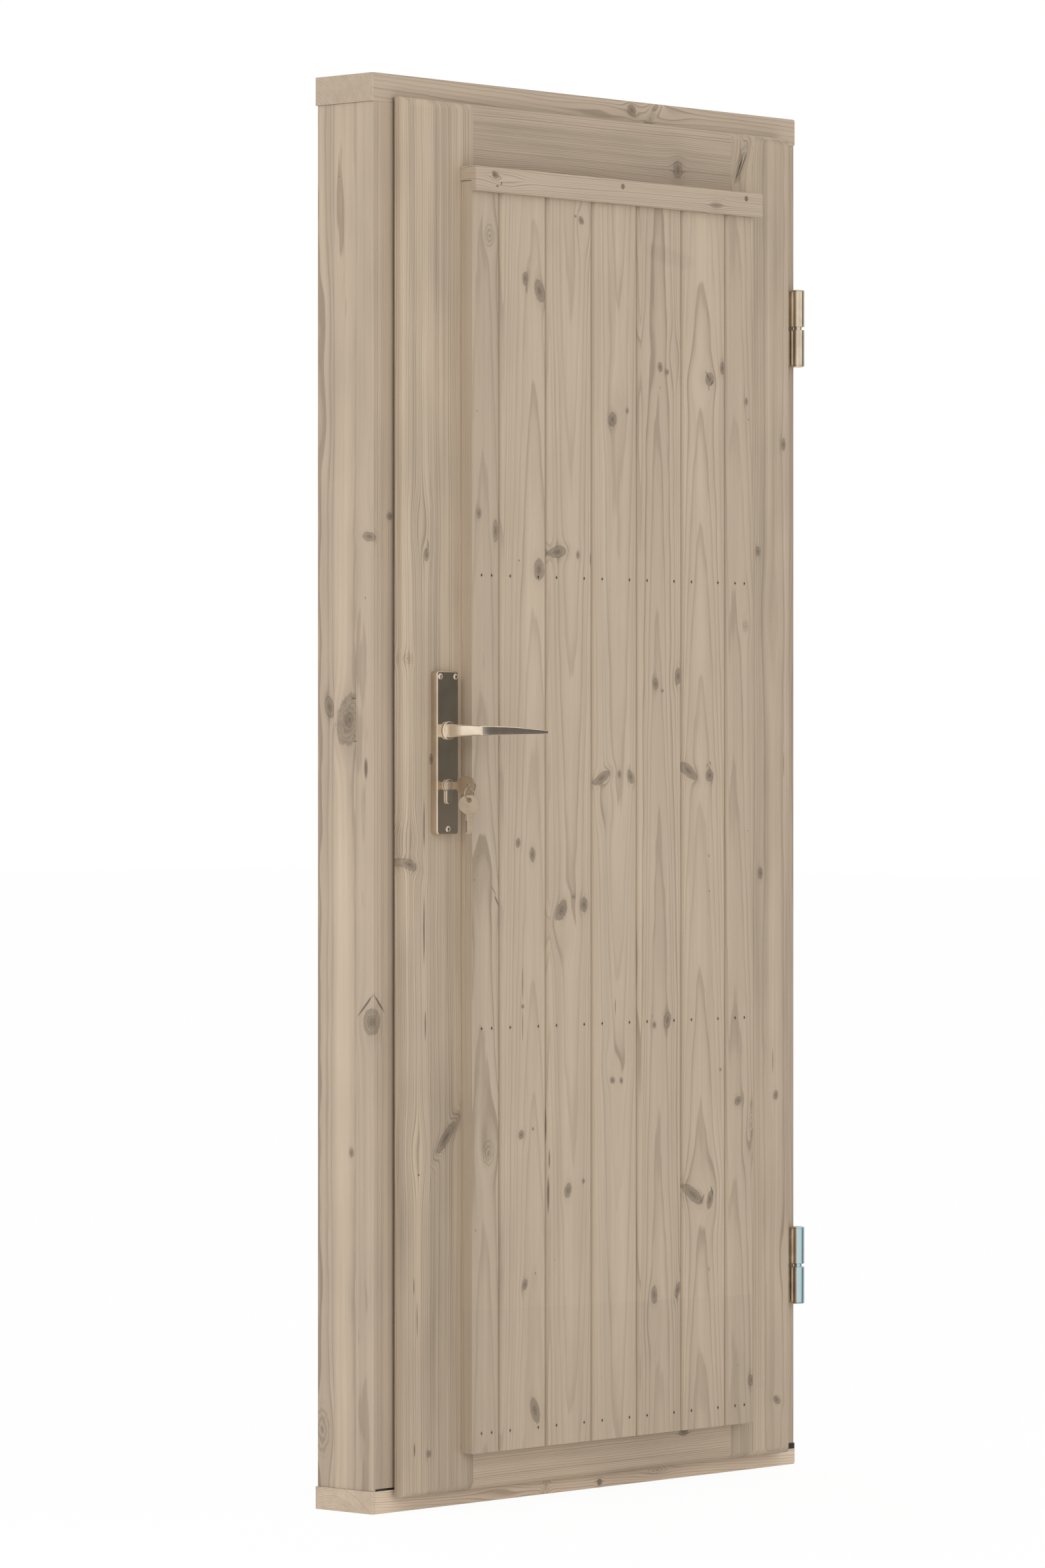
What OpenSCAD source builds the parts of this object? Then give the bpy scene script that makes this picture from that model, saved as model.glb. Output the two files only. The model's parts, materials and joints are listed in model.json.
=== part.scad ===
// Wooden outside door in its own frame, with an overlapping leaf that opens outwards.
// X runs from the lock side to the hinge side, Y from outside to inside, Z up.
// The origin is the centre of the sill's underside.

/* [Frame] */
// Width over the head and the sill
frame_w = 850; // [760:5:1000]
// Height from the sill's underside to the top of the head
frame_h = 1880; // [1780:5:2200]
// Depth of the head and the sill
frame_d = 104; // [98:1:140]
// Thickness of the head
head_t = 37; // [30:1:60]
// Thickness of the sill
sill_t = 29.5; // [26:0.5:50]
// Width of a jamb, seen from the front
jamb_w = 49; // [44:1:70]
// How far the head and the sill reach past the jambs
frame_overhang = 2; // [1:0.5:4]
// Radius at the hinge ends of the head and the sill
bar_end_r = 3; // [1:0.5:5]
// Broken arris at their front corner on the lock side
bar_arris = 1.5; // [0.5:0.5:3]
// Thickness of the packer under the lock jamb
lock_packer_t = 3; // [2:0.5:4]
// Thickness of the packer under the hinge jamb, let into the sill
hinge_packer_t = 8; // [4:0.5:12]
// Depth of both packers, from the front
packer_d = 30; // [20:1:50]
// Wood left between the lock packer and the jamb's outer face
packer_inset = 3; // [2:0.5:6]

/* [Leaf] */
// Thickness of the stiles and rails
leaf_t = 46; // [40:1:60]
// Thickness of the lip that covers the frame
lip_t = 19; // [16:0.5:22]
// Gap between the back of the lip and the face of the frame
lip_gap = 6; // [5:0.5:9]
// How far the lip covers each jamb
lip_cover_side = 16; // [12:1:20]
// How far the lip covers the head
lip_cover_top = 7; // [4:0.5:14]
// How far the lip covers the sill
lip_cover_bottom = 9.5; // [5:0.5:14]
// Gap between a jamb and the thick part of the leaf
side_gap = 4; // [3:0.5:6]
// Gap above and below the thick part of the leaf
end_gap = 5; // [3:0.5:8]
// Radius of the rounded front edge
edge_r = 12; // [6:0.5:15]
// Width of a stile
stile_w = 130; // [120:1:160]
// Height of the top rail
top_rail_h = 130; // [120:1:200]
// Height of the bottom rail
bottom_rail_h = 130; // [110:1:200]
// Height of each middle rail
middle_rail_h = 90; // [60:1:140]
// Height of the upper middle rail's centre line
upper_rail_z = 1227; // [1170:1:1400]
// Height of the lower middle rail's centre line
lower_rail_z = 630; // [450:1:780]
// Length of the tenons
tenon_l = 45; // [30:1:50]
// Thickness of the tenons
tenon_t = 15; // [10:0.5:16]
// Shoulder above and below a tenon
tenon_shoulder = 20; // [10:1:25]

/* [Boards] */
// Thickness of the boards
board_t = 20; // [16:0.5:24]
// Cover width of a full board
board_pitch = 91; // [80:1:98]
// How far the boards reach over each stile
board_lap = 23; // [15:1:35]
// From the leaf's lower edge to the boards
board_rise = 51; // [30:1:90]
// Depth and width of the chamfers that form a V at each joint
vee = 5; // [3:0.5:6]
// Reach of the tongues
tongue_l = 6; // [4:0.5:8]
// Thickness of the tongues
tongue_t = 5; // [4:0.5:6]
// Clearance round the tongues
tongue_clear = 0.3; // [0.2:0.05:0.6]
// Diameter of a nail's head
nail_head_d = 3; // [2.6:0.1:5]
// Diameter of a nail
nail_d = 1.8; // [1.4:0.1:2.4]
// Length of a nail
nail_l = 40; // [34:1:50]
// From a board's edge to its nails
nail_edge = 18; // [14:1:24]
// Least room between a board's two nails
nail_apart = 8; // [5:1:12]
// From the boards' lower end to the lowest nails
nail_rise = 26; // [15:1:50]

/* [Drip cap] */
// From the leaf's top edge down to the drip cap
cap_drop = 85; // [60:1:110]
// Height of the drip cap's front
cap_h = 33; // [26:1:45]
// Depth of the drip cap
cap_d = 28; // [26:0.5:36]
// Depth of the lip that hangs in front of the boards
cap_lip_t = 8; // [5:0.5:12]
// Height of the part behind that lip
cap_back_h = 19; // [14:1:24]
// Broken arris along the drip cap's front
cap_arris = 1.5; // [0.5:0.5:3]
// How far the drip cap reaches past the boards on the lock side
cap_past_lock = 1.5; // [0:0.5:12]
// How far the drip cap reaches past the boards on the hinge side
cap_past_hinge = 12; // [0:0.5:20]
// From the drip cap's ends to its outer screws
cap_screw_edge = 35; // [25:1:60]
// From the drip cap's top to its screws
cap_screw_drop = 9; // [7:0.5:12]

/* [Hinges] */
// Outer diameter of a knuckle
knuckle_d = 18.8; // [16:0.2:22]
// Diameter of a hinge pin
pin_d = 11.4; // [8:0.2:12]
// Running clearance round the pin
pin_clear = 0.05; // [0.02:0.01:0.1]
// Length of one knuckle
knuckle_l = 49.5; // [40:0.5:70]
// Open space between two knuckles, where the pin shows
knuckle_gap = 4.2; // [2:0.1:6]
// Height of an end cap
hinge_cap_h = 3; // [2:0.2:5]
// From the leaf's edge to the hinge axis
hinge_out = 28.4; // [24:0.2:32]
// From the face of the frame to the hinge axis
hinge_fore = 11.3; // [10.8:0.1:11.8]
// Thickness of a hinge plate
hinge_plate_t = 2.5; // [2:0.1:3]
// Width of the part of a hinge plate that is screwed on
hinge_plate_w = 18; // [16:0.5:19]
// Height of the upper hinge's middle
upper_hinge_z = 1587; // [1450:1:1720]
// Height of the lower hinge's middle
lower_hinge_z = 279; // [160:1:420]

/* [Handles] */
// From the thick edge of the leaf to the lock's axes
backset = 50; // [45:1:55]
// Height of the lever's axis
lever_z = 1022; // [960:1:1050]
// Distance between the lever's axis and the cylinder's axis
lock_spacing = 72; // [72:1:80]
// Width of a handle plate
plate_w = 41; // [38:0.5:44]
// Height of a handle plate
plate_h = 214; // [205:1:230]
// Thickness of a handle plate
plate_t = 11; // [7:0.5:12]
// From the lever's axis to the plate's top
plate_rise = 78; // [60:1:84]
// Radius of a plate's corners
plate_r = 4; // [2:0.5:8]
// Radius along the plate's front edge
plate_edge_r = 1.7; // [0.5:0.1:3]
// From a plate's long edges to its upper screws
plate_screw_side = 6; // [5.5:0.5:9]
// From a plate's ends to its screws
plate_screw_end = 7; // [5.5:0.5:12]
// Diameter of the screw heads in the plates
plate_head_d = 9; // [7:0.5:9.5]
// Diameter of the lever's bearing in the plate
journal_d = 20; // [16:0.5:22]
// Diameter of the collar in front of the plate
collar_d = 24.4; // [22:0.2:28]
// Height of the collar
collar_h = 3; // [2:0.5:5]
// How far a lever stands out from its plate
lever_out = 64; // [50:1:68]
// From the lever's axis to its tip
lever_l = 129; // [100:1:140]
// Side of the square spindle
spindle_w = 8; // [7:0.5:9]

/* [Lock] */
// Depth of the lock case behind its face plate
case_w = 80; // [76:1:84]
// Thickness of the lock case
case_t = 15; // [14:0.5:17]
// Wall of the lock case
case_wall = 1.5; // [1:0.1:2]
// Length of the face plate
forend_h = 235; // [225:1:260]
// Width of the face plate
forend_w = 20; // [18:0.5:22]
// Thickness of the face plate
forend_t = 3; // [2:0.5:3.5]
// Height of the latch bolt
latch_h = 20; // [14:0.5:22]
// Travel of the latch bolt
latch_travel = 11; // [8:0.5:13]
// Height of the dead bolt
bolt_h = 30; // [24:0.5:31]
// Travel of the dead bolt
bolt_travel = 20; // [14:0.5:21]
// Thickness of both bolts
bolt_t = 11; // [9:0.5:11.4]
// Diameter of the follower
follower_d = 24; // [20:0.5:26]
// Radius of the cylinder's round part
euro_r = 8.5; // [8:0.1:9]
// Width of the cylinder's web
euro_web = 10; // [9:0.5:11]
// Height of the cylinder
euro_h = 33; // [31:0.5:34]
// How far the cylinder stands out from each plate
cylinder_proud = 3; // [1:0.5:4]
// Diameter of the cylinder's plug
plug_d = 13; // [12:0.1:13.4]
// Reach of the cylinder's cam
cam_r = 15.5; // [13:0.5:15.8]
// Width of the gap for the cam
cam_slot = 10; // [8:0.5:11]

/* [Keys] */
// Thickness of a key
key_t = 2.2; // [1.8:0.1:2.6]
// Height of a key's blade
key_blade_h = 8.6; // [8:0.1:9]
// Length of the blade of the key in the lock
key_blade_l = 27; // [22:1:32]
// Height of the neck of the key in the lock
key_neck_h = 10; // [9:0.5:11]
// From the plug to the near end of that key's bow
key_neck_l = 13; // [10:0.5:18]
// Length of that key's bow
key_bow_l = 33; // [31:0.5:36]
// Height of that key's bow
key_bow_h = 25; // [22:0.5:26]
// Diameter of the hole in a key's bow
key_hole_d = 6; // [5:0.2:6.4]
// From the far edge of a key's bow to its hole
key_hole_in = 11; // [9:0.5:12]
// Wire diameter of the key ring
ring_wire_d = 1.6; // [1.2:0.1:2]
// Diameter of the key ring at the middle of its wire
ring_d = 16; // [15:0.5:16.5]
// Width of the spare key's bow
spare_bow_w = 28; // [24:0.5:30]
// Height of the spare key's bow
spare_bow_h = 24; // [22:0.5:26]
// From the spare key's top to its hole
spare_hole_in = 6.5; // [6:0.5:8]
// Length of the spare key's blade
spare_blade_l = 26.5; // [20:0.5:26.5]
// Angle that the spare key hangs at, seen from above
spare_turn = 45; // [30:5:60]

/* [Hidden] */
$fn = 48;

// Small gaps and allowances
seat = 0.3;
hair = 0.1;
screw_clear = 0.05;
eps = 0.01;
journal_clear = 0.06;
slide_clear = 0.3;

// Planes of the leaf, measured from the front face of the frame
lip_back = -lip_gap;
leaf_front = lip_back - lip_t;
leaf_rear = leaf_front + leaf_t;
board_front = leaf_front - board_t;
cap_front = leaf_front - cap_d;

// Edges of the leaf
jamb_inner = frame_overhang + jamb_w;
leaf_x0 = jamb_inner - lip_cover_side;
leaf_x1 = frame_w - leaf_x0;
body_x0 = jamb_inner + side_gap;
body_x1 = frame_w - body_x0;
head_z = frame_h - head_t;
leaf_z0 = sill_t - lip_cover_bottom;
leaf_z1 = head_z + lip_cover_top;
body_z0 = sill_t + end_gap;
body_z1 = head_z - end_gap;
stile_in0 = leaf_x0 + stile_w;
stile_in1 = leaf_x1 - stile_w;
leaf_mid_y = (leaf_front + leaf_rear) / 2;

// Boards: five full ones between two that are ripped to fit. On a leaf too narrow for that,
// the full ones are ripped too, so that each end board still takes its two nails side by side
full_boards = 5;
least_end_board_w = 2 * nail_edge + nail_apart;
boards_x0 = stile_in0 - board_lap;
boards_x1 = stile_in1 + board_lap;
boards_w = boards_x1 - boards_x0;
full_board_w = min(board_pitch, (boards_w - 2 * least_end_board_w) / full_boards);
end_board_w = (boards_w - full_boards * full_board_w) / 2;
cap_z1 = leaf_z1 - cap_drop;
boards_z0 = leaf_z0 + board_rise;
boards_z1 = cap_z1 - cap_back_h - seat;
board_edges = concat(
    [boards_x0],
    [for (i = [0 : full_boards]) boards_x0 + end_board_w + i * full_board_w],
    [boards_x1]
);
nail_rows = [boards_z0 + nail_rise, lower_rail_z, upper_rail_z, boards_z1 - 10];
nail_head_h = 0.8;

// Drip cap
cap_x0 = boards_x0 - cap_past_lock;
cap_x1 = boards_x1 + cap_past_hinge;
cap_screw_z = cap_z1 - cap_screw_drop;
cap_screw_xs = [cap_x0 + cap_screw_edge, (cap_x0 + cap_x1) / 2, cap_x1 - cap_screw_edge];
cap_screw_l = 60;
cap_screw_d = 4;
cap_head_d = 7.6;

// Frame screws, two at each end of head and sill
frame_screw_d = 6;
frame_head_d = 12;
frame_screw_l = 110;
frame_screw_xs = [frame_overhang + jamb_w / 2, frame_w - frame_overhang - jamb_w / 2];
frame_screw_ys = [frame_d * 0.42, frame_d * 0.8];
jamb_back = frame_d - frame_overhang;

// Seal
seal_t = lip_gap - seat;
seal_w = 12;
seal_in = 1;

// Hinges
hinge_x = leaf_x1 + hinge_out;
hinge_y = -hinge_fore;
hinge_zs = [lower_hinge_z, upper_hinge_z];
hinge_screw_d = 4;
hinge_head_d = 7;
hinge_screw_l = 16;
hinge_screw_pitch = 16;
leaf_plate_x0 = leaf_x1 - hinge_plate_w;
frame_plate_x0 = leaf_plate_x0 + side_gap;
pin_root = 20;
pin_reach = knuckle_gap + knuckle_l - hinge_cap_h;

// Lock axes and planes
axis_x = body_x0 + backset;
cyl_z = lever_z - lock_spacing;
plate_z1 = lever_z + plate_rise;
plate_z0 = plate_z1 - plate_h;
out_face = leaf_front - plate_t;
in_face = leaf_rear + plate_t;
lock_mid_y = (lip_back + leaf_rear) / 2;
case_x0 = body_x0 + forend_t;
case_x1 = case_x0 + case_w;
case_y0 = lock_mid_y - case_t / 2;
case_y1 = lock_mid_y + case_t / 2;
case_z0 = cyl_z - euro_h + euro_r - 10;
case_z1 = lever_z + follower_d / 2 + 22;
forend_z0 = (case_z0 + case_z1) / 2 - forend_h / 2;
forend_z1 = forend_z0 + forend_h;
bolt_z0 = cyl_z + cam_r + 1.2;
latch_z0 = lever_z - latch_h / 2;
bolt_y0 = lock_mid_y - bolt_t / 2;
latch_back = axis_x - follower_d / 2 - 2;
bolt_back = case_x1 - 22;
follower_hub_d = follower_d - 7;
plate_screw_l = 26;
plate_screw_d = 4;
small_head_d = 7.6;
plate_screw_sites = [
    [axis_x - plate_w / 2 + plate_screw_side, plate_z1 - plate_screw_end],
    [axis_x + plate_w / 2 - plate_screw_side, plate_z1 - plate_screw_end],
    [axis_x, plate_z0 + plate_screw_end]
];
cyl_screw_d = 5;
cyl_screw_z = cyl_z - euro_h + euro_r + euro_web / 2;
face_screw_in = 12;
strike_t = 3;
strike_d = 24;
strike_z0 = bolt_z0 - 28;
strike_z1 = latch_z0 + latch_h + 28;
strike_screw_in = 12;

// Lever sections: width, depth and height where the neck leaves the collar and at the bend
neck_w = 15;
neck_h = 17.4;
bend_w = 13;
bend_h = 13;
bend_in = 2;
grip_depth = 10;
tip_depth = 5.5;
tip_h = 4.8;
tip_drop = 1.6;
socket_depth = 30;

// Keys
cyl_out = out_face - cylinder_proud;
cyl_in = in_face + cylinder_proud;
cam_y0 = lock_mid_y - cam_slot / 2;
cam_y1 = lock_mid_y + cam_slot / 2;
bow_end_y = cyl_out - key_neck_l - key_bow_l;
hole_y = bow_end_y + key_hole_in;
ring_top_z = cyl_z - key_hole_d / 2 + ring_wire_d / 2 + seat;
ring_low_z = ring_top_z - ring_d;
spare_seat = 1.1;
spare_hole_z = ring_low_z - key_hole_d / 2 + ring_wire_d / 2 + spare_seat;
spare_top_z = spare_hole_z + spare_hole_in;

// Colours
wood = [0.74, 0.67, 0.58];
wood_shade = [0.66, 0.59, 0.5];
steel = [0.72, 0.69, 0.64];
dark_steel = [0.4, 0.37, 0.33];
black = [0.12, 0.11, 0.1];

// Moves a shape that is drawn from the frame's front lower lock-side corner to the part's origin
module in_frame() {
    translate([-frame_w / 2, -frame_d / 2, 0]) children();
}

// Box between two corners
module block(low, high) {
    translate(low) cube(high - low);
}

// Cylinder along Y, from y0 to y1
module bar_y(x, z, y0, y1, d) {
    translate([x, y1, z]) rotate([90, 0, 0]) cylinder(h = y1 - y0, d = d);
}

// Cylinder along X, from x0 to x1
module bar_x(y, z, x0, x1, d) {
    translate([x0, y, z]) rotate([0, 90, 0]) cylinder(h = x1 - x0, d = d);
}

// Countersunk screw along +Z with its head's face at z = 0, reaching down to -l
module screw(d, head_d, l) {
    head_h = (head_d - d) / 2;
    difference() {
        union() {
            translate([0, 0, -l]) cylinder(h = l - head_h + eps, d = d);
            translate([0, 0, -head_h]) cylinder(h = head_h, d1 = d, d2 = head_d);
        }
        for (a = [0, 90]) rotate([0, 0, a])
            translate([-head_d * 0.3, -head_d * 0.06, -head_h * 0.6])
                cube([head_d * 0.6, head_d * 0.12, head_h]);
    }
}

// Hole for that screw, a hair wider, and open above the head
module screw_hole(d, head_d, l) {
    head_h = (head_d - d) / 2;
    translate([0, 0, -l - hair]) cylinder(h = l - head_h + 2 * hair, d = d + 2 * screw_clear);
    translate([0, 0, -head_h])
        cylinder(h = head_h, d1 = d + 2 * screw_clear, d2 = head_d + 2 * screw_clear);
    translate([0, 0, -eps]) cylinder(h = 2, d = head_d + 2 * screw_clear);
}

// Turns that carry the screw axis from +Z to the way its head faces
module facing_front() {
    rotate([90, 0, 0]) children();
}
module facing_back() {
    rotate([-90, 0, 0]) children();
}
module facing_lock() {
    rotate([0, -90, 0]) children();
}
module facing_hinge() {
    rotate([0, 90, 0]) children();
}

// Outline with its two front corners rounded; along runs from lo to hi, across from front to back
module rounded_front(lo, hi, front, back, r) {
    translate([lo, front + r]) square([hi - lo, back - front - r]);
    translate([lo + r, front]) square([hi - lo - 2 * r, r + eps]);
    for (x = [lo + r, hi - r]) intersection() {
        translate([x, front + r]) circle(r);
        translate([x - r - 1, front - 1]) square([2 * r + 2, r + 1 + eps]);
    }
}

// Rectangle with round corners, centred on x, from z0 to z1
module round_rect(w, z0, z1, r) {
    translate([-w / 2 + r, z0]) square([w - 2 * r, z1 - z0]);
    translate([-w / 2, z0 + r]) square([w, z1 - z0 - 2 * r]);
    for (x = [-w / 2 + r, w / 2 - r]) for (z = [z0 + r, z1 - r])
        translate([x, z]) circle(r);
}

// Plan section and upright section of the whole leaf: the lip in front, the thick part behind
module leaf_plan() {
    rounded_front(leaf_x0, leaf_x1, leaf_front, lip_back, edge_r);
    translate([body_x0, lip_back - eps]) square([body_x1 - body_x0, leaf_rear - lip_back + eps]);
}
module leaf_upright() {
    rounded_front(leaf_z0, leaf_z1, leaf_front, lip_back, edge_r);
    translate([body_z0, lip_back - eps]) square([body_z1 - body_z0, leaf_rear - lip_back + eps]);
}

// The leaf's framing as one solid, cut into its pieces below
module leaf_stock() {
    intersection() {
        translate([0, 0, leaf_z0 - 1]) linear_extrude(leaf_z1 - leaf_z0 + 2) leaf_plan();
        translate([leaf_x0 - 1, 0, 0]) rotate([90, 0, 90]) linear_extrude(leaf_x1 - leaf_x0 + 2)
            mirror([1, -1]) leaf_upright();
    }
}

// Part of the leaf's stock between two x and two z
module leaf_slice(x0, x1, z0, z1) {
    intersection() {
        leaf_stock();
        block([x0, leaf_front - 1, z0], [x1, leaf_rear + 1, z1]);
    }
}

// Tenon of a rail between z0 and z1, grown by c for its mortise
module tenons(z0, z1, c) {
    for (x = [stile_in0 - tenon_l, stile_in1])
        block(
            [x - c, leaf_mid_y - tenon_t / 2 - c, z0 + tenon_shoulder - c],
            [x + tenon_l + c, leaf_mid_y + tenon_t / 2 + c, z1 - tenon_shoulder + c]
        );
}
module all_mortises() {
    tenons(leaf_z1 - top_rail_h, leaf_z1, hair);
    tenons(leaf_z0, leaf_z0 + bottom_rail_h, hair);
    for (z = [upper_rail_z, lower_rail_z])
        tenons(z - middle_rail_h / 2, z + middle_rail_h / 2, hair);
}

// Sites and shapes that several pieces share
module nails() {
    for (i = [0 : len(board_edges) - 2]) for (z = nail_rows)
        for (x = [board_edges[i] + nail_edge, board_edges[i + 1] - nail_edge])
            translate([x, board_front, z]) rotate([-90, 0, 0]) children();
}
module cap_screw_sites() {
    for (x = cap_screw_xs) translate([x, cap_front, cap_screw_z]) facing_front() children();
}
module frame_screw_sites() {
    for (x = frame_screw_xs) for (y = frame_screw_ys) {
        translate([x, y, frame_h]) children();
        translate([x, y, 0]) rotate([180, 0, 0]) children();
    }
}
module outside_plate_screw_sites() {
    for (s = plate_screw_sites) translate([s[0], out_face, s[1]]) facing_front() children();
}
module inside_plate_screw_sites() {
    for (s = plate_screw_sites) translate([s[0], in_face, s[1]]) facing_back() children();
}
module face_screw_sites() {
    for (z = [forend_z0 + face_screw_in, forend_z1 - face_screw_in])
        translate([body_x0, lock_mid_y, z]) facing_lock() children();
}
module strike_screw_sites() {
    for (z = [strike_z0 + strike_screw_in, strike_z1 - strike_screw_in])
        translate([jamb_inner, lock_mid_y, z]) facing_hinge() children();
}
module leaf_hinge_screw_sites() {
    for (z = hinge_zs) for (i = [-1, 0, 1])
        translate([
            leaf_plate_x0 + hinge_plate_w / 2,
            lip_back + hinge_plate_t,
            z + knuckle_gap / 2 + knuckle_l / 2 + i * hinge_screw_pitch
        ]) facing_back() children();
}
module frame_hinge_screw_sites() {
    for (z = hinge_zs) for (i = [-1, 0, 1])
        translate([
            frame_plate_x0 + hinge_plate_w / 2,
            -hinge_plate_t,
            z - knuckle_gap / 2 - knuckle_l / 2 + i * hinge_screw_pitch
        ]) facing_front() children();
}

// Profile of the lock cylinder, grown by c
module euro_profile(c) {
    circle(euro_r + c);
    translate([-euro_web / 2 - c, -euro_h + euro_r + euro_web / 2])
        square([euro_web + 2 * c, euro_h - euro_r - euro_web / 2]);
    translate([0, -euro_h + euro_r + euro_web / 2]) circle(euro_web / 2 + c);
}
module euro_bar(y0, y1, c) {
    translate([axis_x, y1, cyl_z]) rotate([90, 0, 0]) linear_extrude(y1 - y0) euro_profile(c);
}

// Head or sill from z0 to z1: its arris is broken at the lock side, its hinge end rounded
module frame_bar(z0, z1) {
    intersection() {
        translate([0, frame_d, 0]) rotate([90, 0, 0]) linear_extrude(frame_d) {
            translate([0, z0]) square([frame_w - bar_end_r, z1 - z0]);
            translate([frame_w - 2 * bar_end_r, z0 + bar_end_r])
                square([2 * bar_end_r, z1 - z0 - 2 * bar_end_r]);
            for (z = [z0 + bar_end_r, z1 - bar_end_r])
                translate([frame_w - bar_end_r, z]) circle(bar_end_r);
        }
        translate([0, 0, z0 - 1]) linear_extrude(z1 - z0 + 2) polygon([
            [bar_arris, 0], [frame_w + 1, 0], [frame_w + 1, frame_d],
            [0, frame_d], [0, bar_arris]
        ]);
    }
}

module head() {
    color(wood_shade) in_frame() difference() {
        frame_bar(head_z, frame_h);
        frame_screw_sites() screw_hole(frame_screw_d, frame_head_d, frame_screw_l);
    }
}

module sill() {
    color(wood_shade) in_frame() difference() {
        frame_bar(0, sill_t);
        block(
            [frame_w - frame_overhang - jamb_w, -1, sill_t - hinge_packer_t],
            [frame_w + 1, packer_d, sill_t + 1]
        );
        frame_screw_sites() screw_hole(frame_screw_d, frame_head_d, frame_screw_l);
    }
}

module jamb_lock_side() {
    color(wood) in_frame() difference() {
        block([frame_overhang, 0, sill_t], [jamb_inner, jamb_back, head_z]);
        block(
            [frame_overhang + packer_inset, -1, sill_t - 1],
            [jamb_inner + 1, packer_d, sill_t + lock_packer_t]
        );
        block(
            [jamb_inner - strike_t, -1, strike_z0 - hair],
            [jamb_inner + 1, strike_d + hair, strike_z1 + hair]
        );
        block(
            [jamb_inner - bolt_travel, bolt_y0 - 1, bolt_z0 - 1],
            [jamb_inner + 1, bolt_y0 + bolt_t + 1, bolt_z0 + bolt_h + 1]
        );
        block(
            [jamb_inner - bolt_travel, bolt_y0 - 1, latch_z0 - 1],
            [jamb_inner + 1, bolt_y0 + bolt_t + 1, latch_z0 + latch_h + 1]
        );
        strike_screw_sites() screw_hole(plate_screw_d, small_head_d, plate_screw_l);
        frame_screw_sites() screw_hole(frame_screw_d, frame_head_d, frame_screw_l);
    }
}

module jamb_hinge_side() {
    color(wood) in_frame() difference() {
        block(
            [frame_w - jamb_inner, 0, sill_t],
            [frame_w - frame_overhang, jamb_back, head_z]
        );
        frame_hinge_screw_sites() screw_hole(hinge_screw_d, hinge_head_d, hinge_screw_l);
        frame_screw_sites() screw_hole(frame_screw_d, frame_head_d, frame_screw_l);
    }
}

module frame_screws() {
    color(steel) in_frame()
        frame_screw_sites() screw(frame_screw_d, frame_head_d, frame_screw_l);
}

module packer_lock_side() {
    color(black) in_frame() block(
        [frame_overhang + packer_inset, 0, sill_t],
        [jamb_inner, packer_d, sill_t + lock_packer_t]
    );
}

module packer_hinge_side() {
    color(black) in_frame() block(
        [frame_w - jamb_inner, 0, sill_t - hinge_packer_t],
        [frame_w, packer_d, sill_t]
    );
}

// Seal strips on the face of the frame, broken at the hinges
module weather_seal() {
    lock_x0 = jamb_inner - seal_w - seal_in;
    hinge_x0 = frame_w - jamb_inner + seal_in;
    top_z0 = head_z + lip_cover_top - edge_r / 2;
    stops = concat(
        [sill_t],
        [for (z = hinge_zs) for (s = [-1, 1]) z + s * (knuckle_l + knuckle_gap)],
        [top_z0]
    );
    color(black) in_frame() {
        block([lock_x0, -seal_t, sill_t + lock_packer_t], [lock_x0 + seal_w, 0, top_z0]);
        block(
            [lock_x0, -seal_t, top_z0],
            [hinge_x0 + seal_w, 0, head_z + lip_cover_top - seat]
        );
        for (i = [0, 2, 4])
            block([hinge_x0, -seal_t, stops[i]], [hinge_x0 + seal_w, 0, stops[i + 1]]);
    }
}

module strike_plate() {
    color(steel) in_frame() difference() {
        block(
            [jamb_inner - strike_t, 0, strike_z0],
            [jamb_inner, strike_d, strike_z1]
        );
        for (z = [[bolt_z0, bolt_h], [latch_z0, latch_h]])
            block(
                [jamb_inner - strike_t - 1, bolt_y0 - slide_clear, z[0] - slide_clear],
                [jamb_inner + 1, bolt_y0 + bolt_t + slide_clear, z[0] + z[1] + slide_clear]
            );
        strike_screw_sites() screw_hole(plate_screw_d, small_head_d, plate_screw_l);
    }
}

module strike_screws() {
    color(steel) in_frame()
        strike_screw_sites() screw(plate_screw_d, small_head_d, plate_screw_l);
}

// Knuckle from z0 to z1 with its plate, which lies between plate_y0 and plate_y1
module hinge_half(z0, z1, plate_x0, plate_y0, plate_y1) {
    difference() {
        union() {
            translate([hinge_x, hinge_y, z0]) cylinder(h = z1 - z0, d = knuckle_d);
            block([plate_x0, plate_y0, z0], [hinge_x, plate_y1, z1]);
        }
        translate([hinge_x, hinge_y, z0 - 1])
            cylinder(h = z1 - z0 + 2, d = pin_d + 2 * pin_clear);
    }
}

module hinge_frame_halves() {
    color(steel) in_frame() difference() {
        for (z = hinge_zs)
            hinge_half(
                z - knuckle_gap / 2 - knuckle_l, z - knuckle_gap / 2,
                frame_plate_x0, -hinge_plate_t, 0
            );
        frame_hinge_screw_sites() screw_hole(hinge_screw_d, hinge_head_d, hinge_screw_l);
    }
}

// The pin is fast in the frame's knuckle, and the leaf's knuckle hangs on its top
module hinge_pins() {
    color(steel) in_frame() for (z = hinge_zs)
        translate([hinge_x, hinge_y, z - knuckle_gap / 2 - knuckle_l])
            cylinder(h = knuckle_l + pin_reach, d = pin_d);
}

// Slightly domed end cap, its flat face at z = 0: rim, shoulder and crown
module end_cap() {
    rim_h = hinge_cap_h * 0.45;
    shoulder_h = hinge_cap_h * 0.8;
    shoulder_d = knuckle_d * 0.68;
    cylinder(h = rim_h, d = knuckle_d);
    translate([0, 0, rim_h])
        cylinder(h = shoulder_h - rim_h, d1 = knuckle_d, d2 = shoulder_d);
    translate([0, 0, shoulder_h])
        cylinder(h = hinge_cap_h - shoulder_h, d1 = shoulder_d, d2 = knuckle_d * 0.3);
}

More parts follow.
